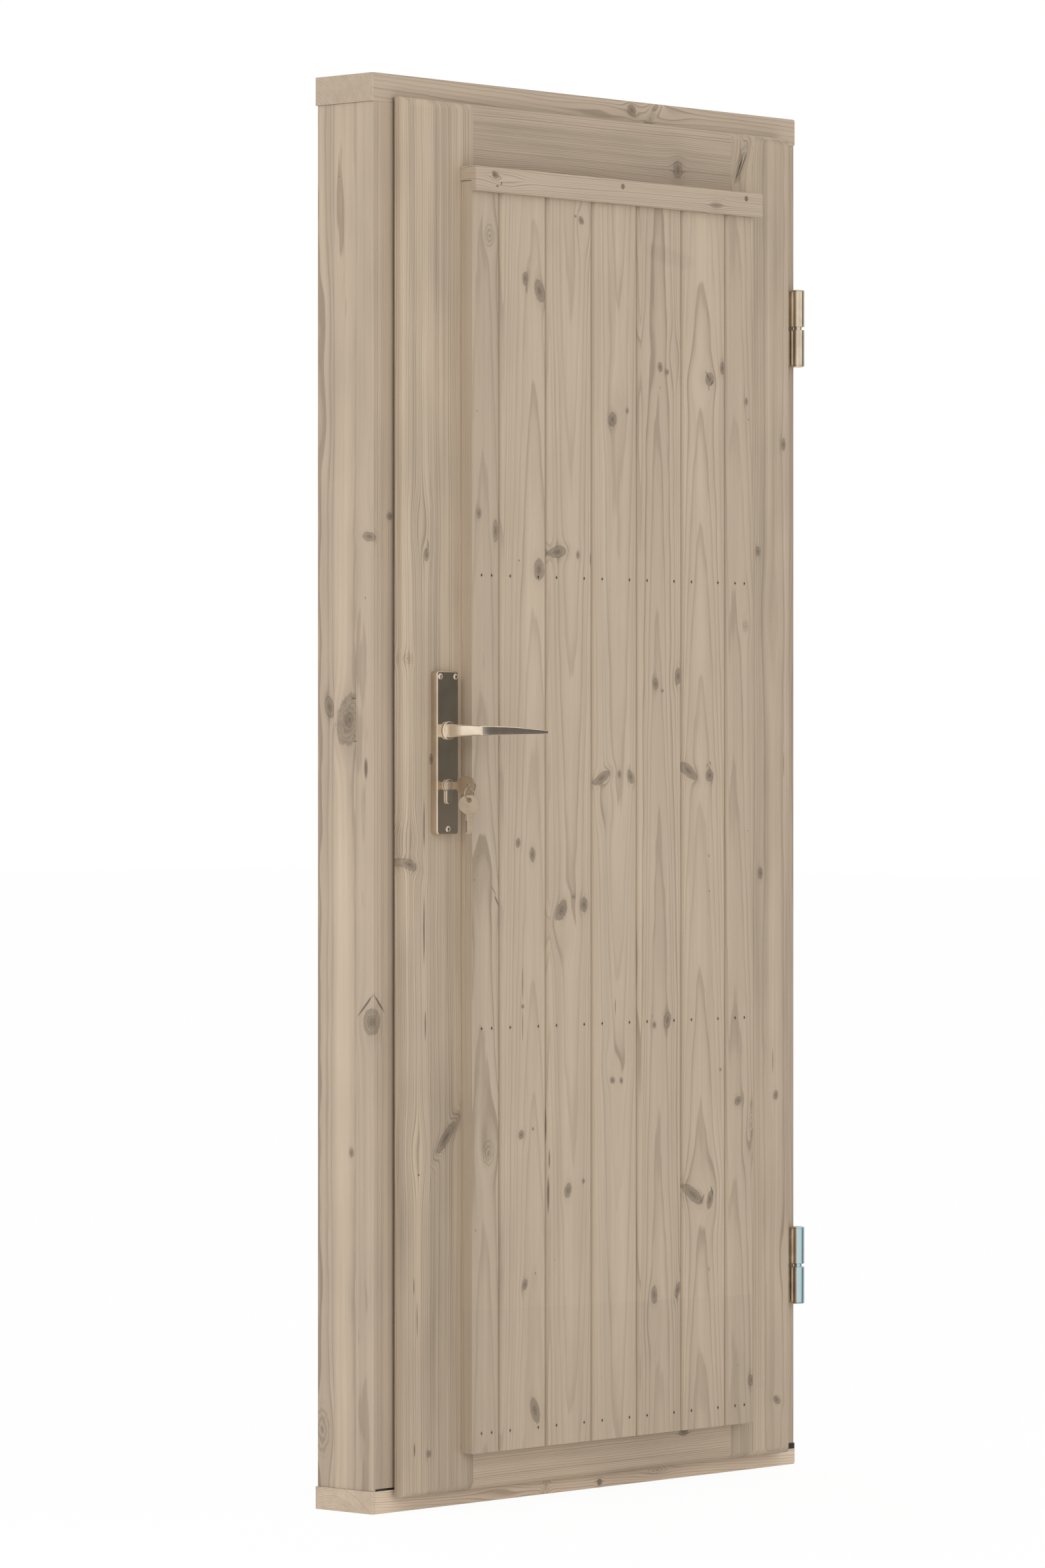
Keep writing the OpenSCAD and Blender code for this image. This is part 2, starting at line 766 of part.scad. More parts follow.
module hinge_frame_caps() {
    color(steel) in_frame() for (z = hinge_zs)
        translate([hinge_x, hinge_y, z - knuckle_gap / 2 - knuckle_l])
            rotate([180, 0, 0]) end_cap();
}

module hinge_frame_screws() {
    color(steel) in_frame()
        frame_hinge_screw_sites() screw(hinge_screw_d, hinge_head_d, hinge_screw_l);
}

module hinge_leaf_halves() {
    color(steel) in_frame() difference() {
        for (z = hinge_zs)
            hinge_half(
                z + knuckle_gap / 2, z + knuckle_gap / 2 + knuckle_l,
                leaf_plate_x0, lip_back, lip_back + hinge_plate_t
            );
        leaf_hinge_screw_sites() screw_hole(hinge_screw_d, hinge_head_d, hinge_screw_l);
    }
}

module hinge_leaf_caps() {
    color(steel) in_frame() for (z = hinge_zs)
        translate([hinge_x, hinge_y, z + knuckle_gap / 2 + knuckle_l]) end_cap();
}

module hinge_leaf_screws() {
    color(steel) in_frame()
        leaf_hinge_screw_sites() screw(hinge_screw_d, hinge_head_d, hinge_screw_l);
}

module stile_lock_side() {
    color(wood) in_frame() difference() {
        leaf_slice(leaf_x0, stile_in0, leaf_z0, leaf_z1);
        all_mortises();
        nails() nail_hole();
        cap_screw_sites() screw_hole(cap_screw_d, cap_head_d, cap_screw_l);
        block(
            [case_x0 - hair, case_y0 - hair, case_z0 - hair],
            [case_x1 + hair, case_y1 + hair, case_z1 + hair]
        );
        block(
            [body_x0 - 1, lock_mid_y - forend_w / 2 - hair, forend_z0 - hair],
            [body_x0 + forend_t, lock_mid_y + forend_w / 2 + hair, forend_z1 + hair]
        );
        bar_y(axis_x, lever_z, leaf_front - 1, leaf_rear + 1, journal_d + 1);
        euro_bar(leaf_front - 1, leaf_rear + 1, 0.5);
        bar_x(lock_mid_y, cyl_screw_z, body_x0, axis_x, cyl_screw_d + 1);
        face_screw_sites() screw_hole(plate_screw_d, small_head_d, plate_screw_l);
        outside_plate_screw_sites() screw_hole(plate_screw_d, plate_head_d, plate_screw_l);
        inside_plate_screw_sites() screw_hole(plate_screw_d, plate_head_d, plate_screw_l);
    }
}

module stile_hinge_side() {
    color(wood) in_frame() difference() {
        leaf_slice(stile_in1, leaf_x1, leaf_z0, leaf_z1);
        all_mortises();
        nails() nail_hole();
        cap_screw_sites() screw_hole(cap_screw_d, cap_head_d, cap_screw_l);
        leaf_hinge_screw_sites() screw_hole(hinge_screw_d, hinge_head_d, hinge_screw_l);
    }
}

// Rail between the stiles, with its tenons
module rail(z0, z1) {
    in_frame() difference() {
        union() {
            leaf_slice(stile_in0, stile_in1, z0, z1);
            tenons(z0, z1, 0);
        }
        nails() nail_hole();
        cap_screw_sites() screw_hole(cap_screw_d, cap_head_d, cap_screw_l);
    }
}

module rail_top() {
    color(wood_shade) rail(leaf_z1 - top_rail_h, leaf_z1);
}
module rail_upper_middle() {
    color(wood_shade) rail(upper_rail_z - middle_rail_h / 2, upper_rail_z + middle_rail_h / 2);
}
module rail_lower_middle() {
    color(wood_shade) rail(lower_rail_z - middle_rail_h / 2, lower_rail_z + middle_rail_h / 2);
}
module rail_bottom() {
    color(wood_shade) rail(leaf_z0, leaf_z0 + bottom_rail_h);
}

// Plan section of board i: the first has no groove, the last no tongue
module board_plan(i) {
    x0 = board_edges[i];
    x1 = board_edges[i + 1];
    last = len(board_edges) - 2;
    groove = i > 0;
    tongue = i < last;
    left = groove ? x0 + tongue_clear / 2 : x0;
    right = tongue ? x1 - tongue_clear / 2 : x1;
    left_vee = groove ? vee : 0;
    right_vee = tongue ? vee : 0;
    tongue_y = leaf_front - board_t * 0.3;
    difference() {
        union() {
            polygon([
                [left, leaf_front], [left, board_front + left_vee],
                [left + left_vee, board_front], [right - right_vee, board_front],
                [right, board_front + right_vee], [right, leaf_front]
            ]);
            if (tongue)
                translate([right - 1, tongue_y - tongue_t / 2])
                    square([tongue_l + 1, tongue_t]);
        }
        if (groove)
            translate([left - 1, tongue_y - tongue_t / 2 - tongue_clear])
                square([tongue_l + 1 + 2 * tongue_clear, tongue_t + 2 * tongue_clear]);
    }
}

module board(i) {
    color(wood) in_frame() difference() {
        translate([0, 0, boards_z0]) linear_extrude(boards_z1 - boards_z0) board_plan(i);
        nails() nail_hole();
    }
}

// Nail with its head's face at z = 0, reaching up
module nail() {
    cylinder(h = nail_head_h, d = nail_head_d);
    cylinder(h = nail_l, d = nail_d);
}
module nail_hole() {
    translate([0, 0, -1]) cylinder(h = 1 + nail_head_h, d = nail_head_d + 2 * screw_clear);
    cylinder(h = nail_l + hair, d = nail_d + 2 * screw_clear);
}

module board_nails() {
    color(dark_steel) in_frame() nails() nail();
}

// L-shaped cap over the boards' upper ends
module drip_cap() {
    color(wood) in_frame() difference() {
        translate([cap_x0, 0, 0]) rotate([90, 0, 90]) linear_extrude(cap_x1 - cap_x0) polygon([
            [leaf_front, cap_z1], [leaf_front, cap_z1 - cap_back_h],
            [cap_front + cap_lip_t, cap_z1 - cap_back_h],
            [cap_front + cap_lip_t, cap_z1 - cap_h],
            [cap_front + cap_arris, cap_z1 - cap_h], [cap_front, cap_z1 - cap_h + cap_arris],
            [cap_front, cap_z1 - cap_arris], [cap_front + cap_arris, cap_z1]
        ]);
        cap_screw_sites() screw_hole(cap_screw_d, cap_head_d, cap_screw_l);
    }
}

module drip_cap_screws() {
    color(steel) in_frame() cap_screw_sites() screw(cap_screw_d, cap_head_d, cap_screw_l);
}

module lock_case() {
    color(steel) in_frame() difference() {
        block([case_x0, case_y0, case_z0], [case_x1, case_y1 - case_wall, case_z1]);
        block(
            [case_x0 + case_wall, case_y0 + case_wall, case_z0 + case_wall],
            [case_x1 - case_wall, case_y1 + 1, case_z1 - case_wall]
        );
        bolt_ways(case_x0 - 1, case_x0 + case_wall + 1);
        bar_y(axis_x, lever_z, case_y0 - 1, case_y1, follower_hub_d + 2 * journal_clear);
        euro_bar(case_y0 - 1, case_y1, slide_clear);
        bar_x(lock_mid_y, cyl_screw_z, case_x0 - 1, axis_x, cyl_screw_d + 1);
    }
}

module lock_cover() {
    color(steel) in_frame() difference() {
        block([case_x0, case_y1 - case_wall, case_z0], [case_x1, case_y1, case_z1]);
        bar_y(
            axis_x, lever_z, case_y1 - case_wall - 1, case_y1 + 1,
            follower_hub_d + 2 * journal_clear
        );
        euro_bar(case_y1 - case_wall - 1, case_y1 + 1, slide_clear);
    }
}

// Ways for latch bolt and dead bolt through a wall between x0 and x1
module bolt_ways(x0, x1) {
    for (z = [[bolt_z0, bolt_h], [latch_z0, latch_h]])
        block(
            [x0, bolt_y0 - slide_clear, z[0] - slide_clear],
            [x1, bolt_y0 + bolt_t + slide_clear, z[0] + z[1] + slide_clear]
        );
}

module lock_face_plate() {
    color(steel) in_frame() difference() {
        block(
            [body_x0, lock_mid_y - forend_w / 2, forend_z0],
            [body_x0 + forend_t, lock_mid_y + forend_w / 2, forend_z1]
        );
        bolt_ways(body_x0 - 1, body_x0 + forend_t + 1);
        face_screw_sites() screw_hole(plate_screw_d, small_head_d, plate_screw_l);
        translate([body_x0, lock_mid_y, cyl_screw_z]) facing_lock()
            screw_hole(cyl_screw_d, cyl_screw_d * 1.7, axis_x - body_x0);
    }
}

module lock_face_screws() {
    color(steel) in_frame()
        face_screw_sites() screw(plate_screw_d, small_head_d, plate_screw_l);
}

// Follower: drum in the case, with a hub in each side wall and a square hole
module follower() {
    drum_y0 = case_y0 + case_wall + slide_clear;
    drum_y1 = case_y1 - case_wall - slide_clear;
    color(steel) in_frame() difference() {
        union() {
            bar_y(axis_x, lever_z, drum_y0, drum_y1, follower_d);
            bar_y(axis_x, lever_z, case_y0, case_y1, follower_hub_d);
        }
        spindle_bar(case_y0 - 1, case_y1 + 1, hair);
    }
}

module spindle_bar(y0, y1, c) {
    half = spindle_w / 2 + c;
    block([axis_x - half, y0, lever_z - half], [axis_x + half, y1, lever_z + half]);
}

module spindle() {
    color(steel) in_frame()
        spindle_bar(out_face - socket_depth + seat, in_face + socket_depth - seat, 0);
}

module latch_bolt() {
    color(steel) in_frame() difference() {
        block(
            [body_x0, bolt_y0, latch_z0],
            [latch_back, bolt_y0 + bolt_t, latch_z0 + latch_h]
        );
        translate([body_x0, bolt_y0 + bolt_t, latch_z0 - 1])
            linear_extrude(latch_h + 2)
                polygon([[-1, 1], [-1, -bolt_t + 2], [0, -bolt_t + 2], [latch_travel, 0], [latch_travel, 1]]);
    }
}

module dead_bolt() {
    color(steel) in_frame() block(
        [body_x0, bolt_y0, bolt_z0],
        [bolt_back, bolt_y0 + bolt_t, bolt_z0 + bolt_h]
    );
}

module cylinder_housing() {
    sweep = cam_r + 1;
    color(steel) in_frame() difference() {
        euro_bar(cyl_out, cyl_in, 0);
        bar_y(axis_x, cyl_z, cyl_out - 1, cyl_in + 1, plug_d + 2 * journal_clear);
        bar_y(axis_x, cyl_z, cam_y0 - seat, cam_y1 + seat, 2 * sweep);
        bar_x(lock_mid_y, cyl_screw_z, axis_x - euro_web, axis_x + 1, cyl_screw_d + 2 * screw_clear);
    }
}

module cylinder_screw() {
    color(steel) in_frame() translate([body_x0, lock_mid_y, cyl_screw_z]) facing_lock()
        screw(cyl_screw_d, cyl_screw_d * 1.7, axis_x - body_x0);
}

module cylinder_plug_inside() {
    color(steel) in_frame() bar_y(axis_x, cyl_z, cam_y1 + seat, cyl_in, plug_d);
}

// Plug on the outside, with the slot that takes the key
module cylinder_plug_outside() {
    color(steel) in_frame() difference() {
        bar_y(axis_x, cyl_z, cyl_out, cam_y0 - seat, plug_d);
        key_blade_bar(cyl_out - 1, cyl_out + key_blade_l + 1, 0.2);
    }
}

module cylinder_cam() {
    color(dark_steel) in_frame() {
        bar_y(axis_x, cyl_z, cam_y0, cam_y1, 2 * euro_r - 1);
        intersection() {
            bar_y(axis_x, cyl_z, cam_y0, cam_y1, 2 * cam_r);
            block(
                [axis_x - euro_web / 2 + 1, cam_y0, cyl_z - cam_r],
                [axis_x + euro_web / 2 - 1, cam_y1, cyl_z]
            );
        }
    }
}

// Handle plate from the leaf's face at y = 0 out to y = -plate_t, on the lever's axis
module handle_plate() {
    low = plate_z0 - lever_z;
    high = plate_z1 - lever_z;
    difference() {
        union() {
            rotate([90, 0, 0]) linear_extrude(plate_t - plate_edge_r + eps)
                round_rect(plate_w, low, high, plate_r);
            hull() for (a = [0, 30, 60, 90]) {
                back = plate_edge_r * (1 - sin(a));
                inset = plate_edge_r * (1 - cos(a));
                translate([0, back - plate_t + eps, 0]) rotate([90, 0, 0]) linear_extrude(eps)
                    round_rect(
                        plate_w - 2 * inset, low + inset, high - inset,
                        max(plate_r - inset, 0.2), $fn = 32
                    );
            }
        }
        bar_y(0, 0, -plate_t - 1, 1, journal_d + 2 * journal_clear);
        translate([0, 1, cyl_z - lever_z]) rotate([90, 0, 0])
            linear_extrude(plate_t + 2) euro_profile(slide_clear);
    }
}

module plate_outside() {
    color(dark_steel) in_frame() difference() {
        translate([axis_x, leaf_front, lever_z]) handle_plate();
        outside_plate_screw_sites() screw_hole(plate_screw_d, plate_head_d, plate_screw_l);
    }
}

module plate_inside() {
    color(dark_steel) in_frame() difference() {
        translate([axis_x, leaf_rear, lever_z]) mirror([0, 1, 0]) handle_plate();
        inside_plate_screw_sites() screw_hole(plate_screw_d, plate_head_d, plate_screw_l);
    }
}

module plate_screws() {
    color(steel) in_frame() {
        outside_plate_screw_sites() screw(plate_screw_d, plate_head_d, plate_screw_l);
        inside_plate_screw_sites() screw(plate_screw_d, plate_head_d, plate_screw_l);
    }
}

// Upright slab with rounded upper and lower edges, w wide, depth deep and h high
module lever_section(w, depth, h) {
    r = min(depth, h) * 0.3;
    for (y = [-depth / 2 + r, depth / 2 - r]) for (z = [-h / 2 + r, h / 2 - r])
        translate([-w / 2, y, z]) rotate([0, 90, 0]) cylinder(h = w, r = r, $fn = 24);
}

// Lever on an axis along Y, with the plate's face at y = 0 and the grip towards +X
module lever_body() {
    difference() {
        union() {
            bar_y(0, 0, -seat, plate_t - 1, journal_d);
            bar_y(0, 0, -seat - collar_h, -seat, collar_d);
            hull() {
                translate([0, -seat - collar_h - 1, 0]) lever_section(neck_w, 2, neck_h);
                translate([bend_w / 2 - bend_in, -lever_out + grip_depth / 2, 0])
                    lever_section(bend_w, grip_depth, bend_h);
            }
            hull() {
                translate([bend_w / 2 - bend_in, -lever_out + grip_depth / 2, 0])
                    lever_section(bend_w, grip_depth, bend_h);
                translate([lever_l * 0.45, -lever_out + grip_depth / 2, 0])
                    lever_section(2, grip_depth * 0.9, bend_h * 0.86);
            }
            hull() {
                translate([lever_l * 0.45, -lever_out + grip_depth / 2, 0])
                    lever_section(2, grip_depth * 0.9, bend_h * 0.86);
                translate([lever_l - 1, -lever_out + grip_depth / 2, -tip_drop])
                    lever_section(2, tip_depth, tip_h);
            }
        }
        block(
            [-spindle_w / 2 - hair, -socket_depth, -spindle_w / 2 - hair],
            [spindle_w / 2 + hair, plate_t + 1, spindle_w / 2 + hair]
        );
    }
}

module lever_outside() {
    color(steel) in_frame() translate([axis_x, out_face, lever_z]) lever_body();
}

module lever_inside() {
    color(steel) in_frame() translate([axis_x, in_face, lever_z]) mirror([0, 1, 0]) lever_body();
}

module key_blade_bar(y0, y1, c) {
    block(
        [axis_x - key_t / 2 - c, y0, cyl_z - key_blade_h / 2 - c],
        [axis_x + key_t / 2 + c, y1, cyl_z + key_blade_h / 2 + c]
    );
}

// Key in the lock: blade in the plug, neck and bow in front, all in one upright plane
module key_in_lock() {
    bow_r = key_bow_h / 2;
    far_r = bow_r * 0.88;
    color(steel) in_frame() difference() {
        union() {
            difference() {
                key_blade_bar(cyl_out, cyl_out + key_blade_l, 0);
                for (i = [0 : 4])
                    translate([0, cyl_out + 5 + 4.6 * i, cyl_z - key_blade_h / 2])
                        rotate([45, 0, 0])
                            cube([4 * axis_x, 2.4 - 0.5 * (i % 2), 2.4 - 0.5 * (i % 2)], center = true);
            }
            block(
                [axis_x - key_t / 2, cyl_out - key_neck_l - 4, cyl_z - key_neck_h / 2],
                [axis_x + key_t / 2, cyl_out - seat, cyl_z + key_neck_h / 2]
            );
            block(
                [axis_x - key_t / 2, cyl_out - 1, cyl_z - key_blade_h / 2],
                [axis_x + key_t / 2, cyl_out + eps, cyl_z + key_blade_h / 2]
            );
            hull() {
                bar_x(
                    cyl_out - key_neck_l - bow_r, cyl_z,
                    axis_x - key_t / 2, axis_x + key_t / 2, 2 * bow_r
                );
                bar_x(
                    bow_end_y + far_r, cyl_z,
                    axis_x - key_t / 2, axis_x + key_t / 2, 2 * far_r
                );
            }
        }
        bar_x(hole_y, cyl_z, axis_x - key_t, axis_x + key_t, key_hole_d);
    }
}

// Wire ring through both keys' holes, in a plane along X and Z
module key_ring() {
    color(steel) in_frame() translate([axis_x, hole_y, ring_top_z - ring_d / 2])
        rotate([90, 0, 0]) rotate_extrude($fn = 64)
            translate([ring_d / 2, 0]) circle(d = ring_wire_d, $fn = 24);
}

// Spare key hanging from the ring, drawn in its own upright plane and turned on the ring's axis
module spare_key() {
    bow_r = spare_bow_h / 2;
    side = (spare_bow_w - spare_bow_h) / 2;
    bow_z = spare_top_z - bow_r;
    neck_top = bow_z;
    blade_top = spare_top_z - spare_bow_h - 1;
    color(steel) in_frame() translate([axis_x, hole_y, 0]) rotate([0, 0, -spare_turn])
        difference() {
            union() {
                hull() for (x = [-side, side]) bar_y(x, bow_z, -key_t / 2, key_t / 2, 2 * bow_r);
                block([-6, -key_t / 2, blade_top], [6, key_t / 2, neck_top]);
                difference() {
                    block(
                        [-key_blade_h / 2, -key_t / 2, blade_top - spare_blade_l],
                        [key_blade_h / 2, key_t / 2, blade_top + 1]
                    );
                    for (i = [0 : 4])
                        translate([-key_blade_h / 2, 0, blade_top - 5 - 4.6 * i])
                            rotate([0, 45, 0])
                                cube([2.4 - 0.5 * (i % 2), 3 * key_t, 2.4 - 0.5 * (i % 2)], center = true);
                }
            }
            bar_y(0, spare_hole_z, -key_t, key_t, key_hole_d);
        }
}

head();
sill();
jamb_lock_side();
jamb_hinge_side();
frame_screws();
packer_lock_side();
packer_hinge_side();
weather_seal();
strike_plate();
strike_screws();
hinge_frame_halves();
hinge_pins();
hinge_frame_caps();
hinge_frame_screws();
stile_lock_side();
stile_hinge_side();
rail_top();
rail_upper_middle();
rail_lower_middle();
rail_bottom();
board(0);  // board_1
board(1);  // board_2
board(2);  // board_3
board(3);  // board_4
board(4);  // board_5
board(5);  // board_6
board(6);  // board_7
board_nails();
drip_cap();
drip_cap_screws();
hinge_leaf_halves();
hinge_leaf_caps();
hinge_leaf_screws();
lock_case();
lock_cover();
lock_face_plate();
lock_face_screws();
plate_outside();
plate_inside();
plate_screws();
cylinder_housing();
cylinder_screw();
cylinder_plug_inside();
lever_outside();
lever_inside();
spindle();
follower();
latch_bolt();
dead_bolt();
cylinder_plug_outside();
cylinder_cam();
key_in_lock();
key_ring();
spare_key();
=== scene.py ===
"""Looks of a softwood outside door in its frame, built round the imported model."""

import json
from functools import reduce
from math import asin, cos, pi, radians, sin

import bmesh
import bpy
from mathutils import Matrix, Vector
from mathutils.geometry import convex_hull_2d

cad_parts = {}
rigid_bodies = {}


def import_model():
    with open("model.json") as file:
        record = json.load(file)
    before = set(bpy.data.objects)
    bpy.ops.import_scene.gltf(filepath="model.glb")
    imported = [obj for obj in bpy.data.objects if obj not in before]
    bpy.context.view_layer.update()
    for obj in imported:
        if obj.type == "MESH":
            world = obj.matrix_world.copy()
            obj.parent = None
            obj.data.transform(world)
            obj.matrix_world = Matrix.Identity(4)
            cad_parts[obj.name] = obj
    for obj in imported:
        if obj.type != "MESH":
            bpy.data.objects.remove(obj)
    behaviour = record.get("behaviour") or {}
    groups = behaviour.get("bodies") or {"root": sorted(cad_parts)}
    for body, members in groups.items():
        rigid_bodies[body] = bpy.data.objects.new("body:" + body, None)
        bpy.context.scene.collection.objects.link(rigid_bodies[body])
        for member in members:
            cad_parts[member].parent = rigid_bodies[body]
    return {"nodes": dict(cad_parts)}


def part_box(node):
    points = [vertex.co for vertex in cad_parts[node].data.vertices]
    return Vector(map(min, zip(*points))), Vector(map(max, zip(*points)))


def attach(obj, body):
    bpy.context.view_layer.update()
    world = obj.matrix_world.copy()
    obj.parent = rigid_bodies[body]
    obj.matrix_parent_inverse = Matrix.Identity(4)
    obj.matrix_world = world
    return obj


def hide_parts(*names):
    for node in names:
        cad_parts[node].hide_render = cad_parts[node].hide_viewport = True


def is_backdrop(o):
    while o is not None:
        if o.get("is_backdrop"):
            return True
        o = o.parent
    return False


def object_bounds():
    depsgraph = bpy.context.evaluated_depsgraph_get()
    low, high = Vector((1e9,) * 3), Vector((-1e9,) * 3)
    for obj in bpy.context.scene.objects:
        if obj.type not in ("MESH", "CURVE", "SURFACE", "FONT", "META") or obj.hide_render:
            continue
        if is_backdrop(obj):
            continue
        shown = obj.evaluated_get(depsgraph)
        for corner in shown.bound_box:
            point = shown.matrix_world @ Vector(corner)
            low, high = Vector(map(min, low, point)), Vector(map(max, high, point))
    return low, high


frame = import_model()
cad_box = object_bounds()
nodes = frame["nodes"]
scene = bpy.context.scene

# The door is measured in millimetres from the head's lock end, the frame's front and the sill's foot
MIDDLE_X, MIDDLE_Y = 425, 52
LIP_BACK, BOARD_FACE, CAP_FACE = -6, -45, -53
PLATE_OUT, PLATE_IN = -36, 32
AXIS_X, LEVER_Z, LOCK_Z = 105, 1022, 950
HINGE_X, HINGE_Y, HINGE_ZS = 843.4, -11.3, (279, 1587)
BOARD_EDGES = (142, 197.5, 288.5, 379.5, 470.5, 561.5, 652.5, 708)
NAIL_ROWS = (97, 630, 1227, 1735.7)
NAIL_INSET, BOARD_LAP = 18, 9
OUT, IN, LOCK_WAY, HINGE_WAY, UP, DOWN = (0, -1, 0), (0, 1, 0), (-1, 0, 0), (1, 0, 0), (0, 0, 1), (0, 0, -1)


def place(x, y, z):
    """A point in metres in the part's frame, from millimetres on the door."""
    return Vector(((x - MIDDLE_X) / 1000, (y - MIDDLE_Y) / 1000, z / 1000))


def linear(tone):
    """Linear colour of a tone written as three numbers from 0 to 255."""
    parts = [c / 255 for c in tone]
    return tuple(c / 12.92 if c <= 0.04045 else ((c + 0.055) / 1.055) ** 2.4 for c in parts) + (1.0,)


def add_node(tree, kind, settings=None, inputs=None):
    """Outputs of a new node, from its settings and the values or links of its inputs."""
    node = tree.nodes.new(kind)
    for key, value in (settings or {}).items():
        setattr(node, key, value)
    for key, value in (inputs or {}).items():
        value = getattr(value, "socket", value)
        if hasattr(value, "is_output"):
            tree.links.new(value, node.inputs[key])
        else:
            node.inputs[key].default_value = value
    return node.outputs


# -------- materials

class Value:
    """A number that varies over a surface. Arithmetic on it adds Math nodes."""

    def __init__(self, finish, socket):
        self.finish, self.socket = finish, socket

    def maths(self, operation, *operands):
        return self.finish.node("Math", {"operation": operation}, dict(enumerate(operands)))

    def __add__(self, other): return self.maths("ADD", self, other)
    def __radd__(self, other): return self.maths("ADD", other, self)
    def __sub__(self, other): return self.maths("SUBTRACT", self, other)
    def __rsub__(self, other): return self.maths("SUBTRACT", other, self)
    def __mul__(self, other): return self.maths("MULTIPLY", self, other)
    def __rmul__(self, other): return self.maths("MULTIPLY", other, self)
    def __truediv__(self, other): return self.maths("DIVIDE", self, other)
    def __rtruediv__(self, other): return self.maths("DIVIDE", other, self)
    def __gt__(self, other): return self.maths("GREATER_THAN", self, other)
    def __lt__(self, other): return self.maths("LESS_THAN", self, other)
    def __abs__(self): return self.maths("ABSOLUTE", self)
    def root(self): return self.maths("SQRT", self)
    def sine(self): return self.maths("SINE", self)
    def part(self): return self.maths("FRACT", self)
    def whole(self): return self.maths("FLOOR", self)
    def least(self, other): return self.maths("MINIMUM", self, other)

    def rise(self, low, high):
        """0 below low, 1 above high, smooth between."""
        return self.finish.node("MapRange", {"interpolation_type": "SMOOTHSTEP"},
                                {0: self, 1: low, 2: high, 3: 0.0, 4: 1.0})

    def fall(self, low, high):
        """1 below low, 0 above high, smooth between."""
        return 1 - self.rise(low, high)


class Finish:
    """A material, and the one way in which its nodes are added."""

    def __init__(self, name, tree=None):
        if tree is None:
            self.material = bpy.data.materials.new(name)
            self.material.use_nodes = True
            tree = self.material.node_tree
        self.tree = tree
        tree.nodes.clear()

    def node(self, kind, settings=None, inputs=None, output=0):
        return Value(self, add_node(self.tree, "ShaderNode" + kind, settings, inputs)[output])

    def split(self, vector):
        first = self.node("SeparateXYZ", None, {0: vector})
        return [Value(self, s) for s in first.socket.node.outputs]

    def mix(self, factor, one, other):
        """Colour between one and other."""
        return self.node("Mix", {"data_type": "RGBA"}, {0: factor, 6: one, 7: other}, 2)

    def vector(self, operation, *operands, output=0):
        return self.node("VectorMath", {"operation": operation}, dict(enumerate(operands)), output)

    def place(self):
        """Place on the door in millimetres."""
        here = self.node("TexCoord", output=3)
        return self.vector("MULTIPLY_ADD", here, (1000,) * 3, (MIDDLE_X, MIDDLE_Y, 0))

    def noise(self, where, scale, shift=0.0, detail=2.0, rough=0.5, output=0):
        """Noise whose features are 1 / scale millimetres long on each axis."""
        spot = self.vector("MULTIPLY_ADD", where, scale, (shift, shift * 0.7, shift * 1.3))
        return self.node("TexNoise", None, {
            "Vector": spot, "Scale": 1.0, "Detail": detail, "Roughness": rough}, output)

    def toward(self, vector, direction):
        """How far a vector points in a direction."""
        return self.vector("DOT_PRODUCT", vector, direction, output=1)

    def scaled(self, colour, factor):
        return self.node("VectorMath", {"operation": "SCALE"}, {0: colour, 3: factor})

    def ray(self, kind):
        """1 for rays of a kind, 0 for others."""
        return self.node("LightPath", output=f"Is {kind} Ray")

    def close(self, kind, shader):
        """Ends the tree with a shader."""
        add_node(self.tree, "ShaderNodeOutput" + kind, None, {0: shader})

    def surface(self, colour, roughness, height, metallic=0.0, relief=0.0, strength=0.5):
        """Closes the material with one Principled shader. relief is in millimetres."""
        bump = self.node("Bump", None, {"Strength": strength, "Distance": relief / 1000, "Height": height})
        self.close("Material", self.node("BsdfPrincipled", None, {
            "Base Color": colour, "Roughness": roughness, "Metallic": metallic, "Normal": bump}))
        return self.material


def stepped(across, bounds, values):
    """Value that changes from one lamella to the next: values has one more entry than bounds."""
    result = values[0]
    for bound, before, after in zip(bounds, values, values[1:]):
        if after != before:
            result = (across > bound) * (after - before) + result
    return result


AXES = {"x": 0, "y": 1, "z": 2}
KNOT_TONE, KNOT_HEART_TONE, RESIN_TONE = (158, 142, 123), (99, 86, 73), (74, 63, 53)
# To the right, square to the line from the camera to the hinges
SIDEWAYS = (0.646, -0.763, 0)


